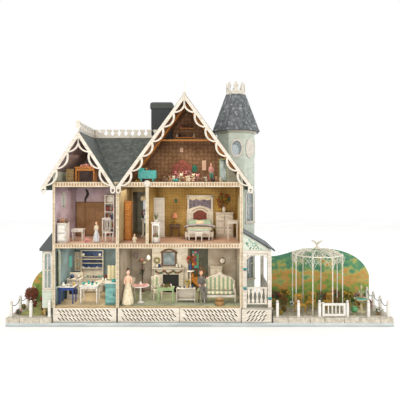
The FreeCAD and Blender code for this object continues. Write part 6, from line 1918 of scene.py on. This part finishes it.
for n in range(96):
    k = rng.randrange(8)
    t = rng.random()
    start = Vector(corners_of[k] + (ring_z,)).lerp(Vector(corners_of[(k + 1) % 8] + (ring_z,)), t)
    end = start.lerp(hub, rng.uniform(0.2, 0.75)) + Vector((rng.uniform(-14, 14),
                                                            rng.uniform(-14, 14), rng.uniform(0, 9)))
    bend = (start + end) / 2 + Vector((0, 0, rng.uniform(2, 9)))
    scrolls.tube([start, bend, end], 1.1, wire_white, 5, 0.5)
for n in range(8):
    ax, ay = corners_of[n]
    for side in (-1, 1):
        scrolls.tube([(ax, ay, ring_z), (ax + side * 8, ay, 252), (ax + side * 4, ay, 236),
                      (ax, ay, 226)], 1.0, wire_white, 5)
scrolls.done("wire")

# %% [markdown]
# ## Gazebo crown
# Stiff wires fan from the ring up to the hub.

# %% Gazebo frame with its fanned crown
wirework = remake("gazebo_wirework", "gazebo_frame", 380, 620, -220, 20, wire_white, 0, 305)
wirework.at(gazebo_x, gazebo_y, 0)
wirework.lathe([(6, 297), (4.4, 300), (3.6, 304), (4.0, 307), (0.5, 307.5)], wire_white, 18, 9, 0.12)
for n in range(18):
    a = 2 * math.pi * n / 18
    reach = rng.uniform(21, 27)
    top = 326 - 7 * (reach - 21) / 6 + rng.uniform(0, 1.5)
    ray = [(0.12, 299), (0.16, 306), (0.42, 313), (0.76, 319), (1.0, top)]
    wirework.tube([(reach * r * math.cos(a), reach * r * math.sin(a), z) for r, z in ray],
                  1.3, wire_white, 6, 0.8)
    wirework.ball(reach * math.cos(a), reach * math.sin(a), top, 1.7, 1.7, 1.9, wire_white, 8)
wirework.at()
wirework.done("wire", replaces=("gazebo_frame",))

# %% [markdown]
# ## Painted ornaments outside
# A blue sprig is painted on the porch gable, blue butterflies sit on its posts, a carved bow
# stands over the oval window, and the landing partition carries a turned rosette.

# %% Outside ornaments
trims = Piece("painted_ornaments")
rng = random.Random(9)
for n in range(26):
    t = rng.random()
    x = 186 + 66 * t
    z = 306 + (50 * (1 - t)) * rng.random()
    trims.ball(x, -242.3, z, 3.4 - 1.4 * t, 0.7, 2.2, turquoise_glaze if n % 2 else leaf_green, 8)
for x, z in ((180, 150), (279, 110), (180, 226)):
    for side in (-1, 1):
        trims.ball(x + side * 4.4, -245.4, z + 2.4, 4.2, 0.8, 3.4, turquoise_glaze, 10)
        trims.ball(x + side * 3.4, -245.4, z - 2.8, 2.8, 0.8, 2.4, blue_glaze, 10)
    trims.tube([(x, -245.6, z - 5), (x, -245.6, z + 5)], 0.7, dark_paint, 6)
for n in range(3):
    trims.ball(163 - 5 + n * 5, 28.4, 771 + (1.5 if n == 1 else 0), 4, 1.4, 2.6, cream_paint, 10)
trims.ball(163, 27.8, 775.5, 2.2, 1.6, 2.2, cream_paint, 10)
trims.at(-209.5, -242.2, 567, 0, 90)
trims.lathe([(12, -1), (13, 0.4), (9.6, 1.8), (7.4, 0.9), (5.6, 2.2), (0.5, 2.6)], cream_paint,
            28, 8, 0.04)
trims.at()
trims.done("cream_paint")
